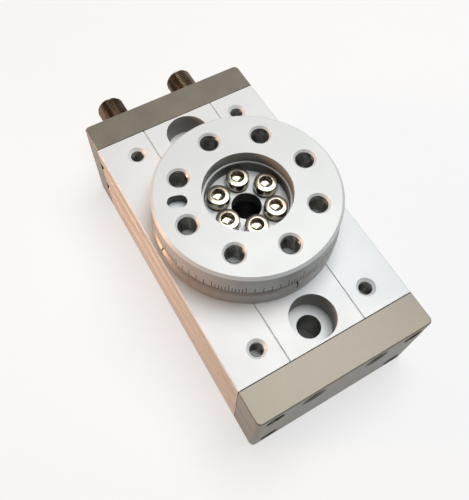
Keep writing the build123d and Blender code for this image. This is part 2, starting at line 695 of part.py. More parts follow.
def tooth_half_angle(radius):
    """Half the angle that a pinion tooth fills at a radius, on its involute flank."""
    pressure = radians(PRESSURE_ANGLE)
    base = PITCH_RADIUS * cos(pressure)
    half_at_pitch = (TOOTH_PITCH / 2 - BACKLASH / 2) / (2 * PITCH_RADIUS)
    local = acos(base / radius)
    involute_here = tan(local) - local
    involute_at_pitch = tan(pressure) - pressure
    return half_at_pitch + involute_at_pitch - involute_here


def pinion_outline():
    """The pinion's section: root arcs, straight roots below the base circle, involute flanks, tip arcs."""
    base = PITCH_RADIUS * cos(radians(PRESSURE_ANGLE))
    step = 2 * pi / PINION_TEETH

    def at(radius, angle):
        return Vector(radius * cos(angle), radius * sin(angle))

    flank_radii = (base, (base + TIP_RADIUS) / 2, TIP_RADIUS)
    edges = []
    for index in range(PINION_TEETH):
        middle = pi / 2 + index * step
        rising = [at(r, middle - tooth_half_angle(r)) for r in flank_radii]
        falling = [at(r, middle + tooth_half_angle(r)) for r in reversed(flank_radii)]
        foot = tooth_half_angle(base)
        root_in, root_out = at(ROOT_RADIUS, middle - foot), at(ROOT_RADIUS, middle + foot)
        next_root = at(ROOT_RADIUS, middle + step - foot)
        edges.append(Line(root_in, rising[0]))
        edges.append(ThreePointArc(*rising))
        edges.append(ThreePointArc(rising[2], at(TIP_RADIUS, middle), falling[0]))
        edges.append(ThreePointArc(*falling))
        edges.append(Line(falling[2], root_out))
        edges.append(ThreePointArc(root_out, at(ROOT_RADIUS, middle + step / 2), next_root))
    return make_face(edges)


def pinion_shaft():
    """The hollow shaft: lower journal, collar, pinion, shoulder and the flange under the table."""
    journal = LOWER_BEARING_BORE / 2
    collar = journal + SHAFT_COLLAR_STEP
    flange = UPPER_BEARING_BORE / 2
    shoulder = flange + SHOULDER_WIDTH
    body = turned(
        (0, LOWER_BEARING_BOTTOM - SHAFT_END_BELOW_BEARING),
        (journal, LOWER_BEARING_BOTTOM - SHAFT_END_BELOW_BEARING),
        (journal, LOWER_BEARING_TOP),
        (collar, LOWER_BEARING_TOP),
        (collar, PINION_BOTTOM),
        (ROOT_RADIUS, PINION_BOTTOM),
        (ROOT_RADIUS, PINION_TOP),
        (TIP_RADIUS, PINION_TOP),
        (TIP_RADIUS, SHOULDER_BOTTOM),
        (shoulder, SHOULDER_BOTTOM),
        (shoulder, UPPER_BEARING_BOTTOM),
        (flange, UPPER_BEARING_BOTTOM),
        (flange, FLANGE_TOP),
        (0, FLANGE_TOP),
    )
    teeth = Pos(0, 0, PINION_BOTTOM) * extrude(pinion_outline(), PINION_FACE_WIDTH)
    cuts = [rod_z(SHAFT_BORE, 0, FLANGE_TOP)]
    tap = TABLE_SCREW_DIAMETER + 2 * THREAD_CLEARANCE
    tap_bottom = SPOT_FACE_LEVEL - TABLE_SCREW_LENGTH - TABLE_SCREW_END_SPACE
    cuts += [rod_z(tap, tap_bottom, FLANGE_TOP, x, y) for x, y in table_screw_places()]
    x, y = table_dowel_place()
    dowel_hole = TABLE_DOWEL_DIAMETER + 2 * SEAT_CLEARANCE
    cuts.append(rod_z(dowel_hole, FLANGE_TOP - TABLE_DOWEL_LENGTH / 2, FLANGE_TOP, x, y))
    return body + teeth - cuts


def table_dowel_place():
    """The dowel's (x, y) place, half way between two of the table's screws."""
    angle = TABLE_REST_ANGLE + TABLE_SCREW_FIRST_ANGLE + 180.0 / TABLE_SCREW_COUNT
    return on_circle(TABLE_DOWEL_RADIUS, angle)


def table_dowel():
    """The pin that keys the table to the flange."""
    x, y = table_dowel_place()
    half = TABLE_DOWEL_LENGTH / 2
    return rod_z(TABLE_DOWEL_DIAMETER, FLANGE_TOP - half + SEAT_CLEARANCE, FLANGE_TOP + half, x, y)


def locating_slot():
    """The radial slot on the bolt circle that takes a locating pin."""
    angle = TABLE_REST_ANGLE + TABLE_SLOT_ANGLE
    x, y = on_circle(TABLE_TAP_RADIUS, angle)
    outline = SlotOverall(TABLE_SLOT_LENGTH, TABLE_SLOT_WIDTH)
    return Pos(x, y, TABLE_TOP - TABLE_SLOT_DEPTH) * Rot(0, 0, angle) * extrude(outline, TABLE_SLOT_DEPTH)


def table():
    """The turntable with its bolt circle, stepped recess and the boss that clamps the inner race."""
    outer = TABLE_DIAMETER / 2
    pilot = UPPER_BEARING_BORE / 2 + SEAT_CLEARANCE
    disc = turned(
        (SHAFT_BORE / 2, FLANGE_TOP),
        (pilot, FLANGE_TOP),
        (pilot, UPPER_BEARING_TOP),
        (BOSS_RADIUS, UPPER_BEARING_TOP),
        (BOSS_RADIUS, TABLE_BOTTOM),
        (outer - TABLE_LOWER_CHAMFER, TABLE_BOTTOM),
        (outer, TABLE_BOTTOM + TABLE_LOWER_CHAMFER),
        (outer, TABLE_TOP - TABLE_CHAMFER),
        (outer - TABLE_CHAMFER, TABLE_TOP),
        (UPPER_RECESS_RADIUS, TABLE_TOP),
        (UPPER_RECESS_RADIUS, TABLE_TOP - RECESS_UPPER_DEPTH),
        (LOWER_RECESS_RADIUS, TABLE_TOP - RECESS_UPPER_DEPTH),
        (LOWER_RECESS_RADIUS, RECESS_FLOOR),
        (SHAFT_BORE / 2, RECESS_FLOOR),
    )
    cuts = [locating_slot()]
    for angle in circle_angles(TABLE_TAP_COUNT, TABLE_REST_ANGLE):
        x, y = on_circle(TABLE_TAP_RADIUS, angle)
        cuts.append(rod_z(TABLE_TAP_DIAMETER, TABLE_BOTTOM + TABLE_TAP_FLOOR, TABLE_TOP, x, y))
        cuts.append(hole_mouth(TABLE_TAP_MOUTH, TABLE_TAP_DIAMETER, TABLE_TOP, x, y))
    for x, y in table_screw_places():
        cuts.append(rod_z(SPOT_FACE_DIAMETER, SPOT_FACE_LEVEL, RECESS_FLOOR, x, y))
        cuts.append(rod_z(TABLE_SCREW_DIAMETER + 2 * SCREW_CLEARANCE, FLANGE_TOP, SPOT_FACE_LEVEL, x, y))
    x, y = table_dowel_place()
    dowel_hole = TABLE_DOWEL_DIAMETER + 2 * SEAT_CLEARANCE
    cuts.append(rod_z(dowel_hole, FLANGE_TOP, FLANGE_TOP + TABLE_DOWEL_LENGTH / 2 + SEAT_CLEARANCE, x, y))
    return disc - cuts


def table_screws():
    """The six screws in the table's recess."""
    screw = cap_screw(
        TABLE_SCREW_DIAMETER,
        TABLE_SCREW_LENGTH,
        TABLE_SCREW_HEAD_DIAMETER,
        TABLE_SCREW_HEAD_HEIGHT,
        TABLE_SCREW_SOCKET,
        TABLE_SCREW_SOCKET_DEPTH,
    )
    return [Pos(x, y, SPOT_FACE_LEVEL) * screw for x, y in table_screw_places()]


def rack_centre(name):
    """The x place of a rack's middle at rest: the two racks move in opposite ways."""
    return SIDE_OF[name] * REST_SHIFT


def rack_ring_places(name, from_end):
    """The two x places of a ring or pocket, the same distance from each end of a rack."""
    reach = RACK_LENGTH / 2 - from_end
    return [rack_centre(name) - reach, rack_centre(name) + reach]


def rack_tooth_gap(name, x):
    """The space between two rack teeth, with straight flanks at the pressure angle."""
    side = SIDE_OF[name]
    slope = tan(radians(PRESSURE_ANGLE))
    half_at_pitch = TOOTH_PITCH / 4 + BACKLASH / 4
    mouth = half_at_pitch + 2 * MODULE * slope
    bottom = half_at_pitch - DEDENDUM_FACTOR * MODULE * slope
    mouth_y = side * (PITCH_RADIUS - 2 * MODULE)
    bottom_y = side * (PITCH_RADIUS + DEDENDUM_FACTOR * MODULE)
    points = [
        (x - mouth, mouth_y),
        (x + mouth, mouth_y),
        (x + bottom, bottom_y),
        (x - bottom, bottom_y),
    ]
    outline = make_face(Polyline(*points, close=True))
    return Pos(0, 0, BORE_HEIGHT - BORE_DIAMETER / 2) * extrude(outline, BORE_DIAMETER)


def rack_piston(name):
    """A round rack: toothed flat in the middle, a piston head with ring grooves at each end."""
    side = SIDE_OF[name]
    centre = rack_centre(name)
    y = side * BORE_OFFSET
    half = RACK_LENGTH / 2
    bar = rod_x(2 * PISTON_RADIUS, centre - half, centre + half, y, BORE_HEIGHT)
    tip_y = PITCH_RADIUS - MODULE
    flat_width = 2 * (BORE_OFFSET - tip_y)
    flat = Box(RACK_TOOTH_ZONE, flat_width, BORE_DIAMETER)
    cuts = [Pos(centre, side * (tip_y - flat_width / 2), BORE_HEIGHT) * flat]
    reach = (RACK_TOOTH_ZONE - TOOTH_PITCH) / 2
    first = ceil((centre - reach) / TOOTH_PITCH)
    last = floor((centre + reach) / TOOTH_PITCH)
    cuts += [rack_tooth_gap(name, index * TOOTH_PITCH) for index in range(first, last + 1)]
    for from_end, width, depth in (
        (RACK_SEAL_FROM_END, RACK_SEAL_WIDTH, RACK_SEAL_DEPTH),
        (RACK_WEAR_RING_FROM_END, RACK_WEAR_RING_WIDTH, RACK_WEAR_RING_DEPTH),
    ):
        for x in rack_ring_places(name, from_end):
            cuts.append(ring_x(PISTON_RADIUS - depth, BORE_DIAMETER / 2, width, x, y))
    for x in rack_ring_places(name, MAGNET_FROM_END):
        cuts.append(magnet_place(name, x, MAGNET_DIAMETER + 2 * SEAT_CLEARANCE, 0))
    return bar - cuts


def ring_x(inner, outer, width, x, y):
    """A flat ring about a cylinder's axis."""
    solid = rod_x(2 * outer, x - width / 2, x + width / 2, y, BORE_HEIGHT)
    return solid - rod_x(2 * inner, x - width / 2, x + width / 2, y, BORE_HEIGHT)


def magnet_place(name, x, diameter, sink):
    """The round space of a switch magnet in the outer flank of a rack."""
    side = SIDE_OF[name]
    flank = BORE_OFFSET + PISTON_RADIUS
    low, high = sorted((side * (flank - MAGNET_SINK - MAGNET_THICKNESS), side * (flank - sink)))
    return rod_y(diameter, low, high, x, BORE_HEIGHT)


def rack_magnets(name):
    """The two magnets that the position switches sense."""
    places = rack_ring_places(name, MAGNET_FROM_END)
    return [magnet_place(name, x, MAGNET_DIAMETER, MAGNET_SINK) for x in places]


def piston_rings(name, from_end, width, depth):
    """The two rings of one kind on a rack, just clear of the cylinder wall."""
    y = SIDE_OF[name] * BORE_OFFSET
    inner = PISTON_RADIUS - depth + SEAT_CLEARANCE
    outer = BORE_DIAMETER / 2 - RUNNING_CLEARANCE / 2
    places = rack_ring_places(name, from_end)
    return [ring_x(inner, outer, width - 2 * SEAT_CLEARANCE, x, y) for x in places]


def adjusting_stud(name):
    """A threaded stud through the far cover, with a key hole outside and a pad seat inside."""
    y = SIDE_OF[name] * BORE_OFFSET
    bar = rod_x(STUD_DIAMETER, STUD_OUTER_X, STUD_TIP_X, y, BORE_HEIGHT)
    bar = chamfer(bar.edges().filter_by(GeomType.CIRCLE), STUD_END_CHAMFER)
    key_hole = Pos(STUD_OUTER_X, y, BORE_HEIGHT) * Rot(0, 90, 0) * hexagon_bar(STUD_SOCKET, STUD_SOCKET_DEPTH)
    seat_x = PAD_TIP_X - PAD_THICKNESS
    pad_seat = rod_x(PAD_DIAMETER + 2 * SEAT_CLEARANCE, seat_x, STUD_TIP_X, y, BORE_HEIGHT)
    return bar - [key_hole, pad_seat]


def cushion_pad(name):
    """The elastic pad that a rack meets at the end of its travel."""
    y = SIDE_OF[name] * BORE_OFFSET
    return rod_x(PAD_DIAMETER, PAD_TIP_X - PAD_THICKNESS, PAD_TIP_X, y, BORE_HEIGHT)


def sealing_washer(name):
    """The washer that seals a stud's thread against the cover."""
    y = SIDE_OF[name] * BORE_OFFSET
    x = -COVER_OUTER_X - WASHER_THICKNESS / 2
    stud = STUD_DIAMETER / 2
    return ring_x(stud + THREAD_CLEARANCE, stud + WASHER_WALL, WASHER_THICKNESS, x, y)


def lock_nut(name):
    """The thin hexagon nut that locks a stud, with the corners of both faces turned down."""
    half_flats = STUD_DIAMETER / 2 + LOCK_NUT_WALL
    corner = half_flats / cos(radians(180.0 / 6))
    slope = (corner - half_flats) * tan(radians(LOCK_NUT_CHAMFER_ANGLE))
    bore = STUD_DIAMETER / 2 + THREAD_CLEARANCE
    turned_form = turned(
        (bore, 0),
        (half_flats, 0),
        (corner, slope),
        (corner, LOCK_NUT_THICKNESS - slope),
        (half_flats, LOCK_NUT_THICKNESS),
        (bore, LOCK_NUT_THICKNESS),
    )
    nut = hexagon_bar(2 * half_flats, LOCK_NUT_THICKNESS) & turned_form
    x_outer = -COVER_OUTER_X - WASHER_THICKNESS - LOCK_NUT_THICKNESS
    return Pos(x_outer, SIDE_OF[name] * BORE_OFFSET, BORE_HEIGHT) * Rot(0, 90, 0) * nut


def build_parts():
    """Every sub-part of the rotary table by its node name."""
    parts = {
        "housing": housing(),
        "near_end_cover": near_end_cover(),
        "far_end_cover": far_end_cover(),
        "near_gasket": gasket(NEAR),
        "far_gasket": gasket(FAR),
        "near_cover_screws": cover_screws(NEAR),
        "far_cover_screws": cover_screws(FAR),
        "passage_plugs": passage_plugs(),
        "index_ring": index_ring(),
        "index_ring_screws": index_ring_screws(),
        "dust_seal": dust_seal(),
        "upper_bearing_outer_race": outer_race(
            UPPER_BEARING_BORE,
            UPPER_BEARING_OUTSIDE,
            UPPER_RACE_THICKNESS,
            UPPER_BEARING_WIDTH,
            UPPER_BEARING_BOTTOM,
        ),
        "upper_bearing_inner_race": inner_race(
            UPPER_BEARING_BORE, UPPER_RACE_THICKNESS, UPPER_BEARING_WIDTH, UPPER_BEARING_BOTTOM
        ),
        "lower_bearing_outer_race": outer_race(
            LOWER_BEARING_BORE,
            LOWER_BEARING_OUTSIDE,
            LOWER_RACE_THICKNESS,
            LOWER_BEARING_WIDTH,
            LOWER_BEARING_BOTTOM,
        ),
        "lower_bearing_inner_race": inner_race(
            LOWER_BEARING_BORE, LOWER_RACE_THICKNESS, LOWER_BEARING_WIDTH, LOWER_BEARING_BOTTOM
        ),
        "pinion_shaft": pinion_shaft(),
        "table": table(),
        "table_screws": table_screws(),
        "table_dowel": table_dowel(),
    }
    for name in SIDE_OF:
        parts[f"rack_piston_{name}"] = rack_piston(name)
        parts[f"piston_seals_{name}"] = piston_rings(
            name, RACK_SEAL_FROM_END, RACK_SEAL_WIDTH, RACK_SEAL_DEPTH
        )
        parts[f"wear_rings_{name}"] = piston_rings(
            name, RACK_WEAR_RING_FROM_END, RACK_WEAR_RING_WIDTH, RACK_WEAR_RING_DEPTH
        )
        parts[f"rack_magnets_{name}"] = rack_magnets(name)
        parts[f"adjusting_stud_{name}"] = adjusting_stud(name)
        parts[f"cushion_pad_{name}"] = cushion_pad(name)
        parts[f"sealing_washer_{name}"] = sealing_washer(name)
        parts[f"lock_nut_{name}"] = lock_nut(name)
    return parts


def export_parts():
    """Write one STEP file for each node; a group of like pieces shares one file."""
    os.makedirs("parts", exist_ok=True)
    for node, shape in build_parts().items():
        solids = shape if isinstance(shape, list) else [shape]
        pieces = [solid for piece in solids for solid in piece.solids()]
        export_step(Compound(pieces), os.path.join("parts", f"{node}.step"))


export_parts()
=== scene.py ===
"""Looks of a pneumatic rotary table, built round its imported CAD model.

Metres, +Z up, origin on the table's axis in the plane of the housing's base. +X points to the end cover
with the air ports, -X to the cover with the adjusting studs.
"""

from __future__ import annotations

import logging
import math
from dataclasses import dataclass
from enum import Enum
from typing import Callable, Sequence

import bpy
from mathutils import Matrix, Vector

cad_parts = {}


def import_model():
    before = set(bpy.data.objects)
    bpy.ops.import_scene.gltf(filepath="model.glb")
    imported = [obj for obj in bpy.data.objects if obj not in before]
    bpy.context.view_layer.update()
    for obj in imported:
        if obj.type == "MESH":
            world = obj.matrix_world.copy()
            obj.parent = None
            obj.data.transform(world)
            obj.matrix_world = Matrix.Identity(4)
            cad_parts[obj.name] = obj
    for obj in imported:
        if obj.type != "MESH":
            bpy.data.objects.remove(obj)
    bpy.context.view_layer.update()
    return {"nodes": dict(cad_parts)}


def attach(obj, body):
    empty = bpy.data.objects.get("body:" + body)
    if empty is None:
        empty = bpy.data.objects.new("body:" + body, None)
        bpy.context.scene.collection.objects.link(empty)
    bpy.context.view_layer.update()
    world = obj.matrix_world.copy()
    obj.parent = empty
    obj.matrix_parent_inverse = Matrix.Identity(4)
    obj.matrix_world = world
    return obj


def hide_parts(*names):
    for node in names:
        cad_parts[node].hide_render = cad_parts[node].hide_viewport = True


LOG = logging.getLogger("rotary_table")
MM = 0.001
SMOOTH_ANGLE = math.radians(32)
# Where a noise value starts to tint a surface, and where the tint is full.
NOISE_LOW = 0.35
NOISE_HIGH = 0.7
# How far the rounded and the plain normal agree where an edge's tint starts, and where it is full.
FLAT_AGREEMENT = 0.98
EDGE_AGREEMENT = 0.8
# How open a wall is where a bore's painted shade starts, and where it is full.
OPEN_WALL = 0.93
ENCLOSED_WALL = 0.7
# The z part of a wall's normal where it starts to count as upright, and where it does in full.
SLOPED_NORMAL = 0.5
UPRIGHT_NORMAL = 0.1
# How much wider than its drilled hole a thread's sleeve is, in millimetres.
SLEEVE_PLAY = 0.1
# How far the fill of an engraved line stands proud, in millimetres.
FILL_PROUD = 0.012

Loop = list[Vector]
Nodes = dict[str, bpy.types.Object]


class Side(Enum):
    """The two rack sides of the housing, with the sign of their y."""

    A = 1
    B = -1

    @property
    def letter(self) -> str:
        """The letter that ends the names of this side's nodes."""
        return self.name.lower()


class Hand(Enum):
    """Whether a thread stands out from a rod or into a hole."""

    OUTSIDE = 1
    INSIDE = -1


def linear(hex_colour: str) -> tuple[float, float, float, float]:
    """Turn an sRGB hex colour into linear values.

    Args:
        hex_colour: Six hex digits after a hash sign.

    Returns:
        Red, green, blue and an alpha of 1.
    """
    values = []
    for start in (1, 3, 5):
        share = int(hex_colour[start : start + 2], 16) / 255
        values.append(share / 12.92 if share <= 0.04045 else ((share + 0.055) / 1.055) ** 2.4)
    return values[0], values[1], values[2], 1.0


def add_node(
    tree: bpy.types.NodeTree,
    kind: str,
    settings: dict[str, object] | None = None,
    inputs: dict[str | int, object] | None = None,
) -> bpy.types.Node:
    """Add a shader node with its settings, values and links.

    Args:
        tree: The node tree that the node goes into.
        kind: Blender's name of the node type.
        settings: Attributes of the node by name.
        inputs: Values or output sockets by the input's name or number.

    Returns:
        The new node.
    """
    node = tree.nodes.new(kind)
    for name, value in (settings or {}).items():
        setattr(node, name, value)
    for key, value in (inputs or {}).items():
        if isinstance(value, bpy.types.NodeSocket):
            tree.links.new(value, node.inputs[key])
        else:
            node.inputs[key].default_value = value
    return node


@dataclass(frozen=True)
class MetalFinish:
    """A metal surface: its base colour, its sheen and the marks of how it was made.

    Sizes are in millimetres, and depths are the height of the bump. A finish with a bore colour has painted
    shade: that darker colour on upright walls inside bores, recesses and grooves that ambient occlusion
    finds enclosed.
    """

    name: str
    colour: str
    worn_colour: str
    metallic: float
    roughness: float
    roughness_swing: float = 0.06
    grain_mm: float = 0.35
    grain_depth_mm: float = 0.006
    mottle_mm: float = 14.0
    mottle_share: float = 0.25
    turned_pitch_mm: float = 0.0
    turned_depth_mm: float = 0.0
    edge_mm: float = 0.25
    edge_share: float = 0.5
    # Painted shade for enclosed walls of bores and grooves, and how far the occlusion looks for them.
    bore_colour: str = ""
    bore_reach_mm: float = 16.0

    def build(self) -> bpy.types.Material:
        """Make the node material.

        Returns:
            The material, named for its finish.
        """
        material = bpy.data.materials.new(self.name)
        material.use_nodes = True
        tree = material.node_tree
        tree.nodes.clear()
        place = add_node(tree, "ShaderNodeTexCoord").outputs["Object"]
        grain = self._noise(tree, place, self.grain_mm, 3.0)
        mottle = self._noise(tree, place, self.mottle_mm, 4.0)
        mottled = add_node(
            tree,
            "ShaderNodeMix",
            {"data_type": "RGBA"},
            {
                0: self._band(tree, mottle, self.mottle_share),
                6: linear(self.colour),
                7: linear(self.worn_colour),
            },
        )
        edge = self._edge_mask(tree)
        tinted = add_node(
            tree,
            "ShaderNodeMix",
            {"data_type": "RGBA"},
            {0: edge, 6: mottled.outputs[2], 7: linear(self.worn_colour)},
        )
        # Painted shade: enclosed upright walls of bores and grooves turn towards the darker bore colour.
        if self.bore_colour:
            tinted = add_node(
                tree,
                "ShaderNodeMix",
                {"data_type": "RGBA"},
                {0: self._bore_mask(tree), 6: tinted.outputs[2], 7: linear(self.bore_colour)},
            )
        rough = add_node(
            tree,
            "ShaderNodeMapRange",
            {},
            {
                "Value": mottle,
                "To Min": self.roughness - self.roughness_swing,
                "To Max": self.roughness + self.roughness_swing,
            },
        )
        height = self._height(tree, place, grain)
        bump = add_node(
            tree,
            "ShaderNodeBump",
            {},
            {"Strength": 1.0, "Distance": MM, "Height": height},
        )
        shader = add_node(
            tree,
            "ShaderNodeBsdfPrincipled",
            {},
            {
                "Base Color": tinted.outputs[2],
                "Metallic": self.metallic,
                "Roughness": rough.outputs[0],
                "Normal": bump.outputs[0],
            },
        )
        add_node(tree, "ShaderNodeOutputMaterial", {}, {"Surface": shader.outputs[0]})
        return material

    @staticmethod
    def _noise(
        tree: bpy.types.NodeTree, place: bpy.types.NodeSocket, size_mm: float, detail: float
    ) -> bpy.types.NodeSocket:
        """A noise value whose features are about as large as the given size.

        Args:
            tree: The node tree.
            place: The socket with the object coordinates, in metres.
            size_mm: The size of one feature.
            detail: How many finer layers it has.

        Returns:
            The noise's value socket.
        """
        noise = add_node(
            tree,
            "ShaderNodeTexNoise",
            {},
            {"Vector": place, "Scale": 1 / (size_mm * MM), "Detail": detail},
        )
        return noise.outputs["Fac"]

    @staticmethod
    def _band(
        tree: bpy.types.NodeTree, value: bpy.types.NodeSocket, share: float
    ) -> bpy.types.NodeSocket:
        """Scale a noise value so that it reaches the given share at most.

        Args:
            tree: The node tree.
            value: The noise's value.
            share: The highest result.

        Returns:
            The result's socket.
        """
        band = add_node(
            tree,
            "ShaderNodeMapRange",
            {},
            {"Value": value, "From Min": NOISE_LOW, "From Max": NOISE_HIGH, "To Max": share},
        )
        return band.outputs[0]

    def _edge_mask(self, tree: bpy.types.NodeTree) -> bpy.types.NodeSocket:
        """Where the surface turns a corner within the edge width.

        Args:
            tree: The node tree.

        Returns:
            A socket that is 0 on flat faces and rises at edges.
        """
        rounded = add_node(tree, "ShaderNodeBevel", {"samples": 4}, {"Radius": self.edge_mm * MM})
        flat = add_node(tree, "ShaderNodeNewGeometry")
        across = add_node(
            tree,
            "ShaderNodeVectorMath",
            {"operation": "DOT_PRODUCT"},
            {0: rounded.outputs[0], 1: flat.outputs["Normal"]},
        )
        mask = add_node(
            tree,
            "ShaderNodeMapRange",
            {},
            {
                "Value": across.outputs["Value"],
                "From Min": FLAT_AGREEMENT,
                "From Max": EDGE_AGREEMENT,
                "To Max": self.edge_share,
            },
        )
        return mask.outputs[0]

    def _bore_mask(self, tree: bpy.types.NodeTree) -> bpy.types.NodeSocket:
        """Where painted shade goes: an upright wall inside a bore, recess or groove of its own piece.

        Args:
            tree: The node tree.

        Returns:
            A socket that is 1 on such walls and 0 on open faces and on floors.
        """
        enclosed = add_node(
            tree,
            "ShaderNodeAmbientOcclusion",
            {"only_local": True, "samples": 8},
            {"Distance": self.bore_reach_mm * MM},
        )
        closed_in = add_node(
            tree,
            "ShaderNodeMapRange",
            {},
            {"Value": enclosed.outputs["AO"], "From Min": OPEN_WALL, "From Max": ENCLOSED_WALL},
        )
        facing = add_node(tree, "ShaderNodeNewGeometry")
        split = add_node(tree, "ShaderNodeSeparateXYZ", {}, {"Vector": facing.outputs["True Normal"]})
        steepness = add_node(tree, "ShaderNodeMath", {"operation": "ABSOLUTE"}, {0: split.outputs["Z"]})
        upright = add_node(
            tree,
            "ShaderNodeMapRange",
            {},
            {
                "Value": steepness.outputs[0],
                "From Min": SLOPED_NORMAL,
                "From Max": UPRIGHT_NORMAL,
            },
        )
        return add_node(
            tree,
            "ShaderNodeMath",
            {"operation": "MULTIPLY"},
            {0: closed_in.outputs[0], 1: upright.outputs[0]},
        ).outputs[0]

    def _height(
        self, tree: bpy.types.NodeTree, place: bpy.types.NodeSocket, grain: bpy.types.NodeSocket
    ) -> bpy.types.NodeSocket:
        """The surface's relief in millimetres: blasted grain, and turning marks where it has them.

        Args:
            tree: The node tree.
            place: The socket with the object coordinates.
            grain: The grain noise's value.

        Returns:
            The height's socket.
        """
        height = add_node(
            tree,
            "ShaderNodeMath",
            {"operation": "MULTIPLY"},
            {0: grain, 1: self.grain_depth_mm},
        ).outputs[0]
        if not self.turned_pitch_mm:
            return height
        split = add_node(tree, "ShaderNodeSeparateXYZ", {}, {"Vector": place})
        flat_place = add_node(
            tree,
            "ShaderNodeCombineXYZ",
            {},
            {"X": split.outputs["X"], "Y": split.outputs["Y"]},
        )
        radius = add_node(
            tree,
            "ShaderNodeVectorMath",
            {"operation": "LENGTH"},
            {0: flat_place.outputs[0]},
        )
        ring_place = add_node(
            tree,
            "ShaderNodeCombineXYZ",
            {},
            {"X": radius.outputs["Value"], "Y": split.outputs["Z"]},
        )
        rings = self._noise(tree, ring_place.outputs[0], self.turned_pitch_mm, 2.0)
        return add_node(
            tree,
            "ShaderNodeMath",
            {"operation": "MULTIPLY_ADD"},
            {0: rings, 1: self.turned_depth_mm, 2: height},
        ).outputs[0]


@dataclass(frozen=True)
class SoftFinish:
    """A rubber or plastic surface with a fine moulded grain."""

    name: str
    colour: str
    dusty_colour: str
    roughness: float
    specular: float = 0.35
    grain_mm: float = 0.3
    grain_depth_mm: float = 0.01

    def build(self) -> bpy.types.Material:
        """Make the node material.

        Returns:
            The material, named for its finish.
        """
        material = bpy.data.materials.new(self.name)
        material.use_nodes = True
        tree = material.node_tree
        tree.nodes.clear()
        place = add_node(tree, "ShaderNodeTexCoord").outputs["Object"]
        grain = add_node(
            tree,
            "ShaderNodeTexNoise",
            {},
            {"Vector": place, "Scale": 1 / (self.grain_mm * MM), "Detail": 4.0},
        )
        tint = add_node(
            tree,
            "ShaderNodeMix",
            {"data_type": "RGBA"},
            {0: grain.outputs["Fac"], 6: linear(self.colour), 7: linear(self.dusty_colour)},
        )
        bump = add_node(
            tree,
            "ShaderNodeBump",
            {},
            {"Strength": self.grain_depth_mm, "Distance": MM, "Height": grain.outputs["Fac"]},
        )
        shader = add_node(
            tree,
            "ShaderNodeBsdfPrincipled",
            {},
            {
                "Base Color": tint.outputs[2],
                "Roughness": self.roughness,
                "Specular IOR Level": self.specular,
                "Normal": bump.outputs[0],
            },
        )
        add_node(tree, "ShaderNodeOutputMaterial", {}, {"Surface": shader.outputs[0]})
        return material


# Clear anodised extrusion, bead blasted: a soft, nearly white sheen with no sharp reflection.
SATIN_ALUMINIUM = MetalFinish(
    name="satin_clear_anodised_aluminium",
    colour="#E6EAEB",
    worn_colour="#DADEDF",
    metallic=0.1,
    roughness=0.5,
    grain_mm=0.4,
    grain_depth_mm=0.008,
    # Painted shade on the enclosed walls of the housing's bores and grooves.
    bore_colour="#8E8E8A",
)
# Clear anodised bar, turned: fine rings round the axis that blur into a soft satin.
TURNED_ALUMINIUM = MetalFinish(
    name="turned_clear_anodised_aluminium",
    colour="#DDE2E2",
    worn_colour="#D2D7D7",
    metallic=0.12,
    roughness=0.46,
    turned_pitch_mm=0.5,
    turned_depth_mm=0.004,
    # Painted shade on the enclosed walls of the table's bores and recess.
    bore_colour="#565653",
)
# The index ring, turned as the table but greyer.
RING_ALUMINIUM = MetalFinish(
    name="turned_grey_anodised_aluminium",
    colour="#B9B8B5",
    worn_colour="#CFCFCC",
    metallic=0.15,
    roughness=0.36,
    turned_pitch_mm=0.5,
    turned_depth_mm=0.004,
)
# Warm grey anodised plate, fine blasted: cloudy tone, with more of the metal's own sheen than the housing.
COVER_ALUMINIUM = MetalFinish(
    name="warm_grey_anodised_aluminium",
    colour="#827C70",
    worn_colour="#938D7E",
    metallic=0.3,
    roughness=0.4,
    grain_mm=0.5,
    grain_depth_mm=0.01,
    mottle_mm=9.0,
    mottle_share=0.5,
    edge_share=0.35,
)
# Threads cut in the aluminium: bare metal, dark in the shade of the hole.
CUT_THREAD = MetalFinish(
    name="cut_aluminium_thread",
    colour="#9C9C98",
    worn_colour="#C4C3BF",
    metallic=0.9,
    roughness=0.3,
    mottle_mm=2.0,
    edge_share=0.6,
)
# Nickel plated screws: bright, a little warm, with sharp small highlights.
NICKEL_STEEL = MetalFinish(
    name="nickel_plated_steel",
    colour="#A89F90",
    worn_colour="#D6CFC0",
    metallic=1.0,
    roughness=0.24,
    grain_depth_mm=0.003,
    mottle_mm=2.5,
)
# Browned steel of the adjusting studs and nuts: dark bronze with lighter crests.
BROWNED_STEEL = MetalFinish(
    name="browned_oxide_steel",
    colour="#6C5D51",
    worn_colour="#AE987F",
    metallic=0.9,
    roughness=0.34,
    mottle_mm=4.0,
    mottle_share=0.4,
    edge_share=0.7,
)
# Blackened cap screws of the covers and the index ring.
BLACK_OXIDE_STEEL = MetalFinish(
    name="black_oxide_steel",
    colour="#35332F",
    worn_colour="#57534C",
    metallic=0.8,
    roughness=0.45,
    mottle_mm=3.0,
)
# Ground steel of the racks.
GROUND_STEEL = MetalFinish(
    name="ground_alloy_steel",
    colour="#8E8E8F",
    worn_colour="#B0B0B0",
    metallic=1.0,
    roughness=0.3,
    mottle_mm=5.0,
)
# Manganese phosphate on the pinion shaft, dark and dull; its near-black colour is also painted shade, so its
# bore reads as a dark hole.
PHOSPHATE_AND_BORE_SHADE_STEEL = MetalFinish(
    name="phosphated_steel_with_bore_shade",
    colour="#26262A",
    worn_colour="#3A3A3C",
    metallic=0.5,
    roughness=0.55,
    mottle_mm=5.0,
)
# Polished bearing races.
BEARING_STEEL = MetalFinish(
    name="polished_bearing_steel",
    colour="#C4C4C6",
    worn_colour="#DADADC",
    metallic=1.0,
    roughness=0.16,
    roughness_swing=0.03,
    grain_depth_mm=0.001,
)
# Turned brass plugs of the air drillings.
TURNED_BRASS = MetalFinish(
    name="turned_brass",
    colour="#B8954E",
    worn_colour="#D1B476",
    metallic=1.0,
    roughness=0.3,
    mottle_mm=2.0,
)
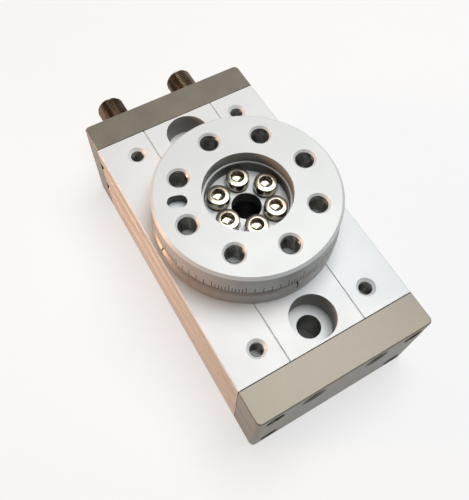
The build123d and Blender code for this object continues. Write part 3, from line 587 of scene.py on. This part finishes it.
# Nitrile rubber of gaskets and seals: nearly black, dull, with a trace of dust.
NITRILE = SoftFinish("black_nitrile_rubber", "#151515", "#23211F", 0.7)
# Urethane cushion pads.
URETHANE = SoftFinish("amber_urethane", "#8A5A20", "#A5722F", 0.4, specular=0.5)
# Wear rings moulded in acetal.
ACETAL = SoftFinish("natural_acetal", "#DDD8CA", "#CFC9B8", 0.5)
# Bonded magnets, dark and dull.
BONDED_MAGNET = SoftFinish("bonded_magnet", "#242426", "#35353A", 0.55)
# Black paint that fills engraved lines.
ENGRAVING_FILL = SoftFinish("black_engraving_fill", "#0D0D0D", "#1B1A19", 0.75, specular=0.2)


class Palette:
    """Builds each finish once and hands out its material."""

    def __init__(self) -> None:
        """Start with no material built."""
        self._built: dict[str, bpy.types.Material] = {}

    def get(self, finish: MetalFinish | SoftFinish) -> bpy.types.Material:
        """The finish's material, built on first use.

        Args:
            finish: The finish to look up.

        Returns:
            Its material.
        """
        if finish.name not in self._built:
            self._built[finish.name] = finish.build()
        return self._built[finish.name]

    def dress(self, piece: bpy.types.Object, finish: MetalFinish | SoftFinish) -> None:
        """Give every material slot of a piece one finish.

        Args:
            piece: The object to dress.
            finish: Its finish.
        """
        material = self.get(finish)
        if not piece.data.materials:
            piece.data.materials.append(material)
        for material_slot in piece.material_slots:
            material_slot.material = material


def ring_loop(radius: float, height: float, count: int, turn: float = 0.0) -> Loop:
    """Points evenly round a circle about Z.

    Args:
        radius: The circle's radius, in metres.
        height: Its z.
        count: How many points.
        turn: The first point's angle, in radians.

    Returns:
        The points in order.
    """
    step = 2 * math.pi / count
    return [
        Vector((radius * math.cos(turn + i * step), radius * math.sin(turn + i * step), height))
        for i in range(count)
    ]


def hexagon_loop(across_flats: float, height: float, count: int) -> Loop:
    """Points round a hexagon about Z, as many as a ring has, at the same angles.

    Args:
        across_flats: The hexagon's width, in metres.
        height: Its z.
        count: How many points, a multiple of six.

    Returns:
        The points in order.
    """
    points = []
    sector = math.pi / 3
    for index in range(count):
        angle = index * 2 * math.pi / count
        from_flat = (angle % sector) - sector / 2
        radius = across_flats / 2 / math.cos(from_flat)
        points.append(Vector((radius * math.cos(angle), radius * math.sin(angle), height)))
    return points


def skin(loops: Sequence[Loop], closed_ends: bool = True) -> bpy.types.Mesh:
    """Join loops of equal count into a surface, with a face over each end.

    Args:
        loops: The loops in order, each as many points.
        closed_ends: Whether the first and last loop get a face.

    Returns:
        The mesh.
    """
    count = len(loops[0])
    verts = [point for loop in loops for point in loop]
    faces: list[list[int]] = []
    for row in range(len(loops) - 1):
        for column in range(count):
            after = (column + 1) % count
            faces.append(
                [
                    row * count + column,
                    row * count + after,
                    (row + 1) * count + after,
                    (row + 1) * count + column,
                ]
            )
    if closed_ends:
        last = (len(loops) - 1) * count
        faces.append(list(reversed(range(count))))
        faces.append([last + column for column in range(count)])
    mesh = bpy.data.meshes.new("skin")
    mesh.from_pydata(verts, [], faces)
    mesh.update()
    return mesh


def joined(meshes: Sequence[bpy.types.Mesh]) -> bpy.types.Mesh:
    """One mesh with the faces of several.

    Args:
        meshes: The meshes to join.

    Returns:
        The joined mesh.
    """
    verts: list[Vector] = []
    faces: list[list[int]] = []
    for mesh in meshes:
        start = len(verts)
        verts += [vertex.co.copy() for vertex in mesh.vertices]
        faces += [[start + index for index in polygon.vertices] for polygon in mesh.polygons]
    whole = bpy.data.meshes.new("joined")
    whole.from_pydata(verts, [], faces)
    whole.update()
    return whole


def placed(mesh: bpy.types.Mesh, place: Matrix) -> bpy.types.Mesh:
    """A copy of a mesh moved by a matrix.

    Args:
        mesh: The mesh to copy.
        place: Where it goes.

    Returns:
        The moved copy.
    """
    copy = mesh.copy()
    copy.transform(place)
    return copy


def add_piece(name: str, mesh: bpy.types.Mesh, body: str) -> bpy.types.Object:
    """Make a smooth-shaded piece that rides on a body.

    Args:
        name: The piece's name.
        mesh: Its mesh, in the row's frame.
        body: The CAD body that it moves with.

    Returns:
        The new object.
    """
    mesh.name = name
    mesh.shade_smooth()
    mesh.set_sharp_from_angle(angle=SMOOTH_ANGLE)
    piece = bpy.data.objects.new(name, mesh)
    bpy.context.scene.collection.objects.link(piece)
    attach(piece, body)
    LOG.info("%s rides on %s with %d faces", name, body, len(mesh.polygons))
    return piece


@dataclass(frozen=True)
class Thread:
    """A 60 degree thread about Z, for the looks of rods and tapped holes. Sizes in millimetres."""

    major: float
    pitch: float
    depth: float
    hand: Hand
    columns: int = 48
    rows_per_pitch: int = 6

    def radius_at(self, turns: float) -> float:
        """The surface's radius at a place along one pitch.

        Args:
            turns: How far along the pitch, in turns from a crest.

        Returns:
            The radius, in millimetres.
        """
        share = abs((turns % 1.0) * 2 - 1)
        flat = 0.2
        rise = min(max((share - flat) / (1 - 2 * flat), 0.0), 1.0)
        if self.hand is Hand.OUTSIDE:
            return self.major / 2 - self.depth * (1 - rise)
        return self.major / 2 - self.depth * rise

    def loops(
        self, low: float, high: float, limit: Callable[[float], float] | None = None
    ) -> list[Loop]:
        """The thread's surface as loops from low to high.

        Args:
            low: The lower end's z, in millimetres.
            high: The upper end's z.
            limit: The largest radius of an outside thread at a z, or the smallest of an inside one.

        Returns:
            The loops in order.
        """
        rows = max(2, round((high - low) / self.pitch * self.rows_per_pitch))
        found = []
        for row in range(rows + 1):
            z = low + (high - low) * row / rows
            loop = []
            for column in range(self.columns):
                share = column / self.columns
                radius = self.radius_at(z / self.pitch - share)
                if limit:
                    pick = min if self.hand is Hand.OUTSIDE else max
                    radius = pick(radius, limit(z))
                angle = 2 * math.pi * share
                loop.append(
                    Vector((radius * math.cos(angle), radius * math.sin(angle), z)) * MM
                )
            found.append(loop)
        return found


@dataclass(frozen=True)
class CapScrew:
    """A socket head cap screw's head, seat at z 0. Sizes in millimetres."""

    head_diameter: float
    head_height: float
    socket: float
    socket_depth: float
    shank_diameter: float
    shank_length: float
    edge: float = 0.35
    points: int = 48

    def mesh(self) -> bpy.types.Mesh:
        """The screw with a rounded head, a hexagon socket and a plain shank.

        Returns:
            The mesh.
        """
        head = self.head_diameter / 2
        top = self.head_height
        shank = self.shank_diameter / 2
        mouth_play = 0.1
        mouth = self.socket / math.sqrt(3) + mouth_play
        shank_end = 0.4
        seat_edge = 0.15
        mouth_break = 0.12
        corner_share = 0.3
        socket_start = 0.45
        drill = self.socket * 0.42
        point_depth = drill * 0.5
        point_radius = 0.1
        outline = [
            (shank - shank_end, -self.shank_length),
            (shank, -self.shank_length + shank_end),
            (shank, 0.0),
            (head - seat_edge, 0.0),
            (head, seat_edge),
            (head, top - self.edge),
            (head - self.edge * corner_share, top - self.edge * corner_share),
            (head - self.edge, top),
            (mouth + mouth_break, top),
            (mouth, top - mouth_break),
        ]
        loops = [ring_loop(r * MM, z * MM, self.points) for r, z in outline]
        flats = self.socket * MM
        floor = top - self.socket_depth
        for z in (top - socket_start, floor):
            loops.append(hexagon_loop(flats, z * MM, self.points))
        loops.append(ring_loop(drill * MM, floor * MM, self.points))
        loops.append(ring_loop(point_radius * MM, (floor - point_depth) * MM, self.points))
        return skin(loops)


# The M4 screws of the end covers.
COVER_SCREW = CapScrew(
    head_diameter=7.0,
    head_height=4.0,
    socket=3.0,
    socket_depth=2.0,
    shank_diameter=4.0,
    shank_length=18.0,
)
# The M5 screws in the table's recess.
TABLE_SCREW = CapScrew(
    head_diameter=8.4,
    head_height=5.0,
    socket=4.0,
    socket_depth=2.5,
    shank_diameter=5.0,
    shank_length=12.0,
)


@dataclass(frozen=True)
class Lamp:
    """A square lamp that faces a point. Places and sizes in metres."""

    name: str
    place: tuple[float, float, float]
    target: tuple[float, float, float]
    size: float
    watts: float
    colour: str = "#FFFFFF"
    spread_degrees: float = 180.0

    def hang(self) -> None:
        """Add the lamp to the scene."""
        data = bpy.data.lights.new(self.name, "AREA")
        data.shape = "SQUARE"
        data.size = self.size
        data.energy = self.watts
        data.color = linear(self.colour)[:3]
        data.spread = math.radians(self.spread_degrees)
        lamp = bpy.data.objects.new(self.name, data)
        bpy.context.scene.collection.objects.link(lamp)
        direction = Vector(self.target) - Vector(self.place)
        turn = direction.to_track_quat("-Z", "Y").to_matrix().to_4x4()
        lamp.matrix_world = Matrix.Translation(self.place) @ turn


# A large soft lamp above the part.
KEY_LAMP = Lamp("key", place=(-0.08, 0.22, 0.9), target=(0.0, 0.0, 0.03), size=0.62, watts=7.4)
# A small warm lamp beside the housing, in a narrow beam that leaves the floor pale.
WARM_FILL = Lamp(
    "warm_fill",
    place=(-0.42, -0.82, 0.22),
    target=(0.0, -0.03, 0.02),
    size=0.2,
    watts=0.27,
    colour="#FFC49A",
    spread_degrees=40.0,
)


@dataclass
class Studio:
    """A pale floor, soft lamps and a camera at the photograph's viewing angle."""

    lens_mm: float = 41.22
    nearest_seen_m: float = 0.01
    yaw: float = -3.731569
    pitch: float = 1.100298
    roll: float = 0.067781
    camera_place_mm: tuple[float, float, float] = (87.354, -62.404, 223.768)
    floor_half_m: float = 3.0
    floor_glow: float = 0.65
    floor_bounce: str = "#5E3D2B"
    floor_seen: str = "#FDFDFD"
    sky_strength: float = 0.05
    horizon_height: float = 0.3
    horizon_full: float = 0.12

    def build(self) -> None:
        """Add the camera, the floor, the lamps and the world."""
        self._camera()
        self._floor()
        for lamp in (KEY_LAMP, WARM_FILL):
            lamp.hang()
        self._world()

    def _camera(self) -> None:
        """Stand the camera where its fitted yaw, pitch and roll put it."""
        data = bpy.data.cameras.new("camera")
        data.lens = self.lens_mm
        data.clip_start = self.nearest_seen_m
        camera = bpy.data.objects.new("camera", data)
        bpy.context.scene.collection.objects.link(camera)
        bpy.context.scene.camera = camera
        forward = Vector(
            (
                math.cos(self.pitch) * math.cos(self.yaw),
                math.cos(self.pitch) * math.sin(self.yaw),
                -math.sin(self.pitch),
            )
        )
        level = Vector((math.sin(self.yaw), -math.cos(self.yaw), 0.0))
        upright = level.cross(forward)
        right = math.cos(self.roll) * level + math.sin(self.roll) * upright
        above = -math.sin(self.roll) * level + math.cos(self.roll) * upright
        turn = Matrix((right, above, -forward)).transposed().to_4x4()
        camera.matrix_world = Matrix.Translation(Vector(self.camera_place_mm) * MM) @ turn

    def _floor(self) -> None:
        """Lay a floor that looks pale and scatters a warm, darker light onto the part."""
        half = self.floor_half_m
        mesh = bpy.data.meshes.new("floor")
        mesh.from_pydata(
            [(-half, -half, 0), (half, -half, 0), (half, half, 0), (-half, half, 0)], [], [(0, 1, 2, 3)]
        )
        floor = bpy.data.objects.new("floor", mesh)
        bpy.context.scene.collection.objects.link(floor)
        material = bpy.data.materials.new("floor")
        material.use_nodes = True
        tree = material.node_tree
        tree.nodes.clear()
        seen = seen_directly(tree)
        colour = add_node(
            tree,
            "ShaderNodeMix",
            {"data_type": "RGBA"},
            {0: seen, 6: linear(self.floor_bounce), 7: linear(self.floor_seen)},
        )
        lit = add_node(tree, "ShaderNodeBsdfDiffuse", {}, {"Color": colour.outputs[2]})
        glow = add_node(
            tree, "ShaderNodeEmission", {}, {"Color": linear("#FFFFFF"), "Strength": 1.0}
        )
        share = add_node(
            tree, "ShaderNodeMath", {"operation": "MULTIPLY"}, {0: seen, 1: self.floor_glow}
        )
        shader = add_node(
            tree,
            "ShaderNodeMixShader",
            {},
            {0: share.outputs[0], 1: lit.outputs[0], 2: glow.outputs[0]},
        )
        add_node(tree, "ShaderNodeOutputMaterial", {}, {"Surface": shader.outputs[0]})
        mesh.materials.append(material)

    def _world(self) -> None:
        """Surround the scene with a dim even light; where it is seen directly it is white at the horizon."""
        world = bpy.data.worlds.new("studio")
        bpy.context.scene.world = world
        world.use_nodes = True
        tree = world.node_tree
        tree.nodes.clear()
        place = add_node(tree, "ShaderNodeTexCoord").outputs["Generated"]
        height = add_node(tree, "ShaderNodeSeparateXYZ", {}, {"Vector": place}).outputs["Z"]
        low = add_node(
            tree,
            "ShaderNodeMapRange",
            {},
            {"Value": height, "From Min": self.horizon_height, "From Max": self.horizon_full},
        )
        backdrop = add_node(
            tree, "ShaderNodeMath", {"operation": "MULTIPLY"}, {0: low.outputs[0], 1: seen_directly(tree)}
        )
        strength = add_node(
            tree,
            "ShaderNodeMapRange",
            {},
            {"Value": backdrop.outputs[0], "To Min": self.sky_strength, "To Max": 1.0},
        )
        back = add_node(
            tree,
            "ShaderNodeBackground",
            {},
            {"Color": linear("#FFFFFF"), "Strength": strength.outputs[0]},
        )
        add_node(tree, "ShaderNodeOutputWorld", {}, {"Surface": back.outputs[0]})


def seen_directly(tree: bpy.types.NodeTree) -> bpy.types.NodeSocket:
    """Whether a ray comes from the camera, a mirror reflection or glass.

    Args:
        tree: The node tree.

    Returns:
        A socket that is 1 for those rays and 0 for the light that a surface scatters.
    """
    path = add_node(tree, "ShaderNodeLightPath")
    either = add_node(
        tree,
        "ShaderNodeMath",
        {"operation": "MAXIMUM"},
        {0: path.outputs["Is Camera Ray"], 1: path.outputs["Is Glossy Ray"]},
    )
    return add_node(
        tree,
        "ShaderNodeMath",
        {"operation": "MAXIMUM"},
        {0: either.outputs[0], 1: path.outputs["Is Transmission Ray"]},
    ).outputs[0]


@dataclass
class HousingLooks:
    """The housing block and what is screwed in or on it. Sizes in millimetres."""

    nodes: Nodes
    palette: Palette
    top: float = 40.0
    tap_pitch_x: float = 90.0
    tap_pitch_y: float = 45.0
    tap_depth: float = 8.5
    tap_mouth: float = 1.2
    tap_diameter: float = 5.0
    thread_pitch: float = 1.0
    thread_depth: float = 0.35

    def build(self) -> None:
        """Dress the CAD pieces and add the threads of the tapped holes."""
        for name, finish in {
            "housing": SATIN_ALUMINIUM,
            "near_gasket": NITRILE,
            "far_gasket": NITRILE,
            "passage_plugs": TURNED_BRASS,
            "index_ring_screws": BLACK_OXIDE_STEEL,
            "dust_seal": NITRILE,
            "upper_bearing_outer_race": BEARING_STEEL,
            "lower_bearing_outer_race": BEARING_STEEL,
        }.items():
            self.palette.dress(self.nodes[name], finish)
        self._tapped_holes()

    def _tapped_holes(self) -> None:
        """Line the four M6 holes with their threads."""
        wide = self.tap_diameter + SLEEVE_PLAY
        thread = Thread(wide, self.thread_pitch, self.thread_depth, Hand.INSIDE)
        high = self.top - self.tap_mouth
        sleeve = skin(thread.loops(self.top - self.tap_depth, high), closed_ends=False)
        places = [
            Matrix.Translation(Vector((x * self.tap_pitch_x / 2, y * self.tap_pitch_y / 2, 0)) * MM)
            for x in (1, -1)
            for y in (1, -1)
        ]
        mesh = joined([placed(sleeve, place) for place in places])
        piece = add_piece("housing_tap_threads", mesh, "housing")
        self.palette.dress(piece, CUT_THREAD)


@dataclass
class CoverLooks:
    """The end covers with their ports and screws. Sizes in millimetres."""

    nodes: Nodes
    palette: Palette
    outer_x: float = 67.05
    port_spacing: float = 26.0
    port_height: float = 33.0
    port_diameter: float = 8.6
    port_depth: float = 9.0
    port_thread_pitch: float = 0.907
    port_thread_depth: float = 0.35
    port_thread_start: float = 0.6
    port_thread_end: float = 1.0
    screw_spacing_y: float = 56.6
    screw_heights: tuple[float, float] = (34.0, 6.0)
    screw_sink: float = 0.4

    def build(self) -> None:
        """Dress the covers, and add their screws and the threads of the ports."""
        for name in ("near_end_cover", "far_end_cover"):
            self.palette.dress(self.nodes[name], COVER_ALUMINIUM)
        self._port_threads()
        for end, name in ((1, "near"), (-1, "far")):
            self._screws(end, name)

    def _port_threads(self) -> None:
        """Line both air ports with pipe threads."""
        wide = self.port_diameter + SLEEVE_PLAY
        thread = Thread(wide, self.port_thread_pitch, self.port_thread_depth, Hand.INSIDE)
        high = self.port_depth - self.port_thread_end
        sleeve = skin(thread.loops(self.port_thread_start, high), closed_ends=False)
        along = Matrix.Rotation(math.radians(90), 4, "Y")
        meshes = []
        for side in (1, -1):
            y = side * self.port_spacing / 2
            start = Vector((self.outer_x - self.port_depth, y, self.port_height))
            meshes.append(placed(sleeve, Matrix.Translation(start * MM) @ along))
        piece = add_piece("port_threads", joined(meshes), "housing")
        self.palette.dress(piece, COVER_ALUMINIUM)

    def _screws(self, end: int, name: str) -> None:
        """Put the four cap screws into one cover.

        Args:
            end: 1 for the near cover and -1 for the far one.
            name: The first word of the CAD node.
        """
        screw = COVER_SCREW.mesh()
        seat = end * (self.outer_x - COVER_SCREW.head_height - self.screw_sink)
        turn = Matrix.Rotation(math.radians(90 * end), 4, "Y")
        meshes = []
        for z in self.screw_heights:
            for side in (1, -1):
                place = Vector((seat, side * self.screw_spacing_y / 2, z)) * MM
                meshes.append(placed(screw, Matrix.Translation(place) @ turn))
        piece = add_piece(f"{name}_cover_cap_screws", joined(meshes), "housing")
        self.palette.dress(piece, BLACK_OXIDE_STEEL)
        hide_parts(f"{name}_cover_screws")


@dataclass
class TableLooks:
    """The turntable, its screws and its degree scale. Sizes in millimetres."""

    nodes: Nodes
    palette: Palette
    radius: float = 33.5
    top: float = 58.3
    bottom: float = 47.5
    rest_angle: float = 3.8
    tap_count: int = 8
    tap_circle: float = 49.0
    tap_diameter: float = 6.8
    tap_depth: float = 9.0
    tap_mouth: float = 0.8
    screw_count: int = 6
    screw_radius: float = 10.35
    screw_angle: float = 45.0
    screw_seat: float = 47.4
    screw_turn_step: float = 25.0
    thread_pitch: float = 1.25
    thread_depth: float = 0.42
    fine_reach: int = 10
    fine_step: int = 2
    coarse_from: int = 15
    coarse_to: int = 30
    coarse_step: int = 5
    zero_tick: float = 5.0
    end_tick: float = 3.9
    fine_tick: float = 2.7
    coarse_tick: float = 3.3
    tick_half_width: float = 0.11
    tick_lift: float = 0.35
    tick_sink: float = 0.1

    def build(self) -> None:
        """Dress the table, and add threads, screws and the scale."""
        for name, finish in {
            "table": TURNED_ALUMINIUM,
            # The pinion shaft's near-black finish is partly painted shade for its bore.
            "pinion_shaft": PHOSPHATE_AND_BORE_SHADE_STEEL,
            "table_dowel": BEARING_STEEL,
            "upper_bearing_inner_race": BEARING_STEEL,
            "lower_bearing_inner_race": BEARING_STEEL,
        }.items():
            self.palette.dress(self.nodes[name], finish)
        self._tapped_holes()
        self._screws()
        self._scale()

    def _on_circle(self, radius: float, angle: float, height: float) -> Matrix:
        """Where a piece on a circle about the table's axis goes.

        Args:
            radius: The circle's radius.
            angle: The place on it, in degrees.
            height: The z.

        Returns:
            The translation, in metres.
        """
        turn = math.radians(angle)
        return Matrix.Translation(
            Vector((radius * math.cos(turn), radius * math.sin(turn), height)) * MM
        )

    def _tapped_holes(self) -> None:
        """Line the M8 holes of the bolt circle with their threads."""
        wide = self.tap_diameter + SLEEVE_PLAY
        thread = Thread(wide, self.thread_pitch, self.thread_depth, Hand.INSIDE)
        low = self.top - self.tap_depth
        sleeve = skin(thread.loops(low, self.top - self.tap_mouth), closed_ends=False)
        step = 360 / self.tap_count
        mesh = joined(
            [
                placed(
                    sleeve,
                    self._on_circle(self.tap_circle / 2, self.rest_angle + index * step, 0)
                    @ Matrix.Rotation(math.radians(index * step), 4, "Z"),
                )
                for index in range(self.tap_count)
            ]
        )
        piece = add_piece("table_tap_threads", mesh, "turntable")
        self.palette.dress(piece, CUT_THREAD)

    def _screws(self) -> None:
        """Put the six socket head screws into the recess."""
        screw = TABLE_SCREW.mesh()
        step = 360 / self.screw_count
        meshes = []
        for index in range(self.screw_count):
            angle = self.rest_angle + self.screw_angle + index * step
            turn = Matrix.Rotation(math.radians(index * self.screw_turn_step), 4, "Z")
            meshes.append(
                placed(screw, self._on_circle(self.screw_radius, angle, self.screw_seat) @ turn)
            )
        piece = add_piece("table_cap_screws", joined(meshes), "turntable")
        self.palette.dress(piece, NICKEL_STEEL)
        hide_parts("table_screws")

    def _scale(self) -> None:
        """Engrave the degree scale round the table's rim."""
        meshes = []
        fine = self.fine_reach
        heights = {0: self.zero_tick, fine: self.end_tick}
        for index in range(self.tap_count):
            zero = self.rest_angle + index * 360 / self.tap_count
            for offset in range(-fine, fine + 1, self.fine_step):
                meshes.append(self._tick(zero + offset, heights.get(abs(offset), self.fine_tick)))
            for offset in range(self.coarse_from, self.coarse_to + 1, self.coarse_step):
                meshes.append(self._tick(zero + offset, self.coarse_tick))
        piece = add_piece("table_scale", joined(meshes), "turntable")
        self.palette.dress(piece, ENGRAVING_FILL)

    def _tick(self, angle: float, height: float) -> bpy.types.Mesh:
        """One engraved line on the rim.

        Args:
            angle: Its place, in degrees.
            height: Its length.

        Returns:
            The line's mesh.
        """
        half = self.tick_half_width
        low = self.bottom + self.tick_lift
        inner, outer = self.radius - self.tick_sink, self.radius + FILL_PROUD
        loops = []
        for z in (low, low + height):
            corners = [(inner, -half), (outer, -half), (outer, half), (inner, half)]
            loops.append([Vector((x, y, z)) * MM for x, y in corners])
        return placed(skin(loops), Matrix.Rotation(math.radians(angle), 4, "Z"))


@dataclass
class IndexRingLooks:
    """The ring under the table, with its index marks. Sizes in millimetres."""

    nodes: Nodes
    palette: Palette
    radius: float = 34.2
    top: float = 47.0
    chamfer: float = 0.8
    mark_length: float = 3.6
    mark_width: float = 0.55
    mark_on_top: float = 0.4
    mark_depth: float = 0.15
    mark_angles: tuple[float, ...] = (0.0, 90.0, 180.0, 270.0)

    def build(self) -> None:
        """Dress the ring and engrave its index marks."""
        self.palette.dress(self.nodes["index_ring"], RING_ALUMINIUM)
        meshes = [
            placed(self._mark(), Matrix.Rotation(math.radians(angle), 4, "Z"))
            for angle in self.mark_angles
        ]
        piece = add_piece("index_marks", joined(meshes), "housing")
        self.palette.dress(piece, ENGRAVING_FILL)

    def _mark(self) -> bpy.types.Mesh:
        """One mark that runs from the ring's top edge over its chamfer and down its side.

        Returns:
            The mark's mesh.
        """
        proud = FILL_PROUD
        deep = self.mark_depth
        half = self.mark_width / 2
        outline = [
            (self.radius - self.chamfer - self.mark_on_top, self.top),
            (self.radius - self.chamfer, self.top),
            (self.radius, self.top - self.chamfer),
            (self.radius, self.top - self.mark_length),
        ]
        loops = []
        for r, z in outline:
            corners = [
                (r - deep, -half, z - deep),
                (r + proud, -half, z + proud),
                (r + proud, half, z + proud),
                (r - deep, half, z - deep),
            ]
            loops.append([Vector(corner) * MM for corner in corners])
        return skin(loops)


@dataclass
class AdjusterLooks:
    """A threaded stop stud with its lock nut and sealing washer. Sizes in millimetres."""

    nodes: Nodes
    palette: Palette
    side: Side
    diameter: float = 12.0
    pitch: float = 1.0
    outer_x: float = -89.45
    tip_x: float = -54.12
    offset: float = 17.3
    height: float = 20.0
    end_chamfer: float = 0.9
    socket: float = 6.0
    socket_depth: float = 7.0
    thread_depth: float = 0.56

    def build(self) -> None:
        """Dress the CAD pieces and put a threaded stud in the plain one's place."""
        letter = self.side.letter
        for name, finish in {
            f"cushion_pad_{letter}": URETHANE,
            f"sealing_washer_{letter}": NITRILE,
            f"lock_nut_{letter}": BROWNED_STEEL,
        }.items():
            self.palette.dress(self.nodes[name], finish)
        length = self.tip_x - self.outer_x
        mesh = self._stud(length)
        turn = Matrix.Rotation(math.radians(-90), 4, "Y")
        place = Vector((self.tip_x, self.side.value * self.offset, self.height)) * MM
        piece = add_piece(
            f"threaded_stud_{letter}", placed(mesh, Matrix.Translation(place) @ turn), f"adjuster_{letter}"
        )
        self.palette.dress(piece, BROWNED_STEEL)
        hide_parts(f"adjusting_stud_{letter}")

    def _stud(self, length: float) -> bpy.types.Mesh:
        """The stud from its inner tip at z 0 to its outer end, with a socket there.

        Args:
            length: The stud's length.

        Returns:
            The mesh.
        """
        full = self.diameter / 2

        def limit(z: float) -> float:
            """The chamfered ends' radius at a height."""
            from_end = min(z, length - z)
            return full - max(0.0, self.end_chamfer - from_end)

        thread = Thread(self.diameter, self.pitch, self.thread_depth, Hand.OUTSIDE)
        loops = thread.loops(0.0, length, limit)
        count = thread.columns
        mouth_break = 0.25
        hexagon_start = 0.7
        point_depth = 1.2
        point_radius = 0.1
        mouth = self.socket / math.sqrt(3) + mouth_break
        rim = [(mouth, length), (mouth - mouth_break, length - mouth_break)]
        loops += [ring_loop(r * MM, z * MM, count) for r, z in rim]
        floor = length - self.socket_depth
        for z in (length - hexagon_start, floor):
            loops.append(hexagon_loop(self.socket * MM, z * MM, count))
        loops.append(ring_loop(point_radius * MM, (floor - point_depth) * MM, count))
        return skin(loops)


@dataclass
class RackLooks:
    """A rack piston with its seals, wear rings and magnets."""

    nodes: Nodes
    palette: Palette
    side: Side

    def build(self) -> None:
        """Dress the rack's CAD pieces."""
        for name, finish in {
            "rack_piston": GROUND_STEEL,
            "piston_seals": NITRILE,
            "wear_rings": ACETAL,
            "rack_magnets": BONDED_MAGNET,
        }.items():
            self.palette.dress(self.nodes[f"{name}_{self.side.letter}"], finish)


def main() -> None:
    """Load the frame, build every sub-assembly's looks and the studio."""
    logging.basicConfig(level=logging.INFO, format="%(name)s: %(message)s")
    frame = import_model()
    nodes: Nodes = frame["nodes"]
    palette = Palette()
    HousingLooks(nodes, palette).build()
    CoverLooks(nodes, palette).build()
    IndexRingLooks(nodes, palette).build()
    TableLooks(nodes, palette).build()
    for side in Side:
        AdjusterLooks(nodes, palette, side).build()
        RackLooks(nodes, palette, side).build()
    Studio().build()
    bpy.context.scene.view_settings.view_transform = "Standard"


if __name__ == "__main__":
    main()
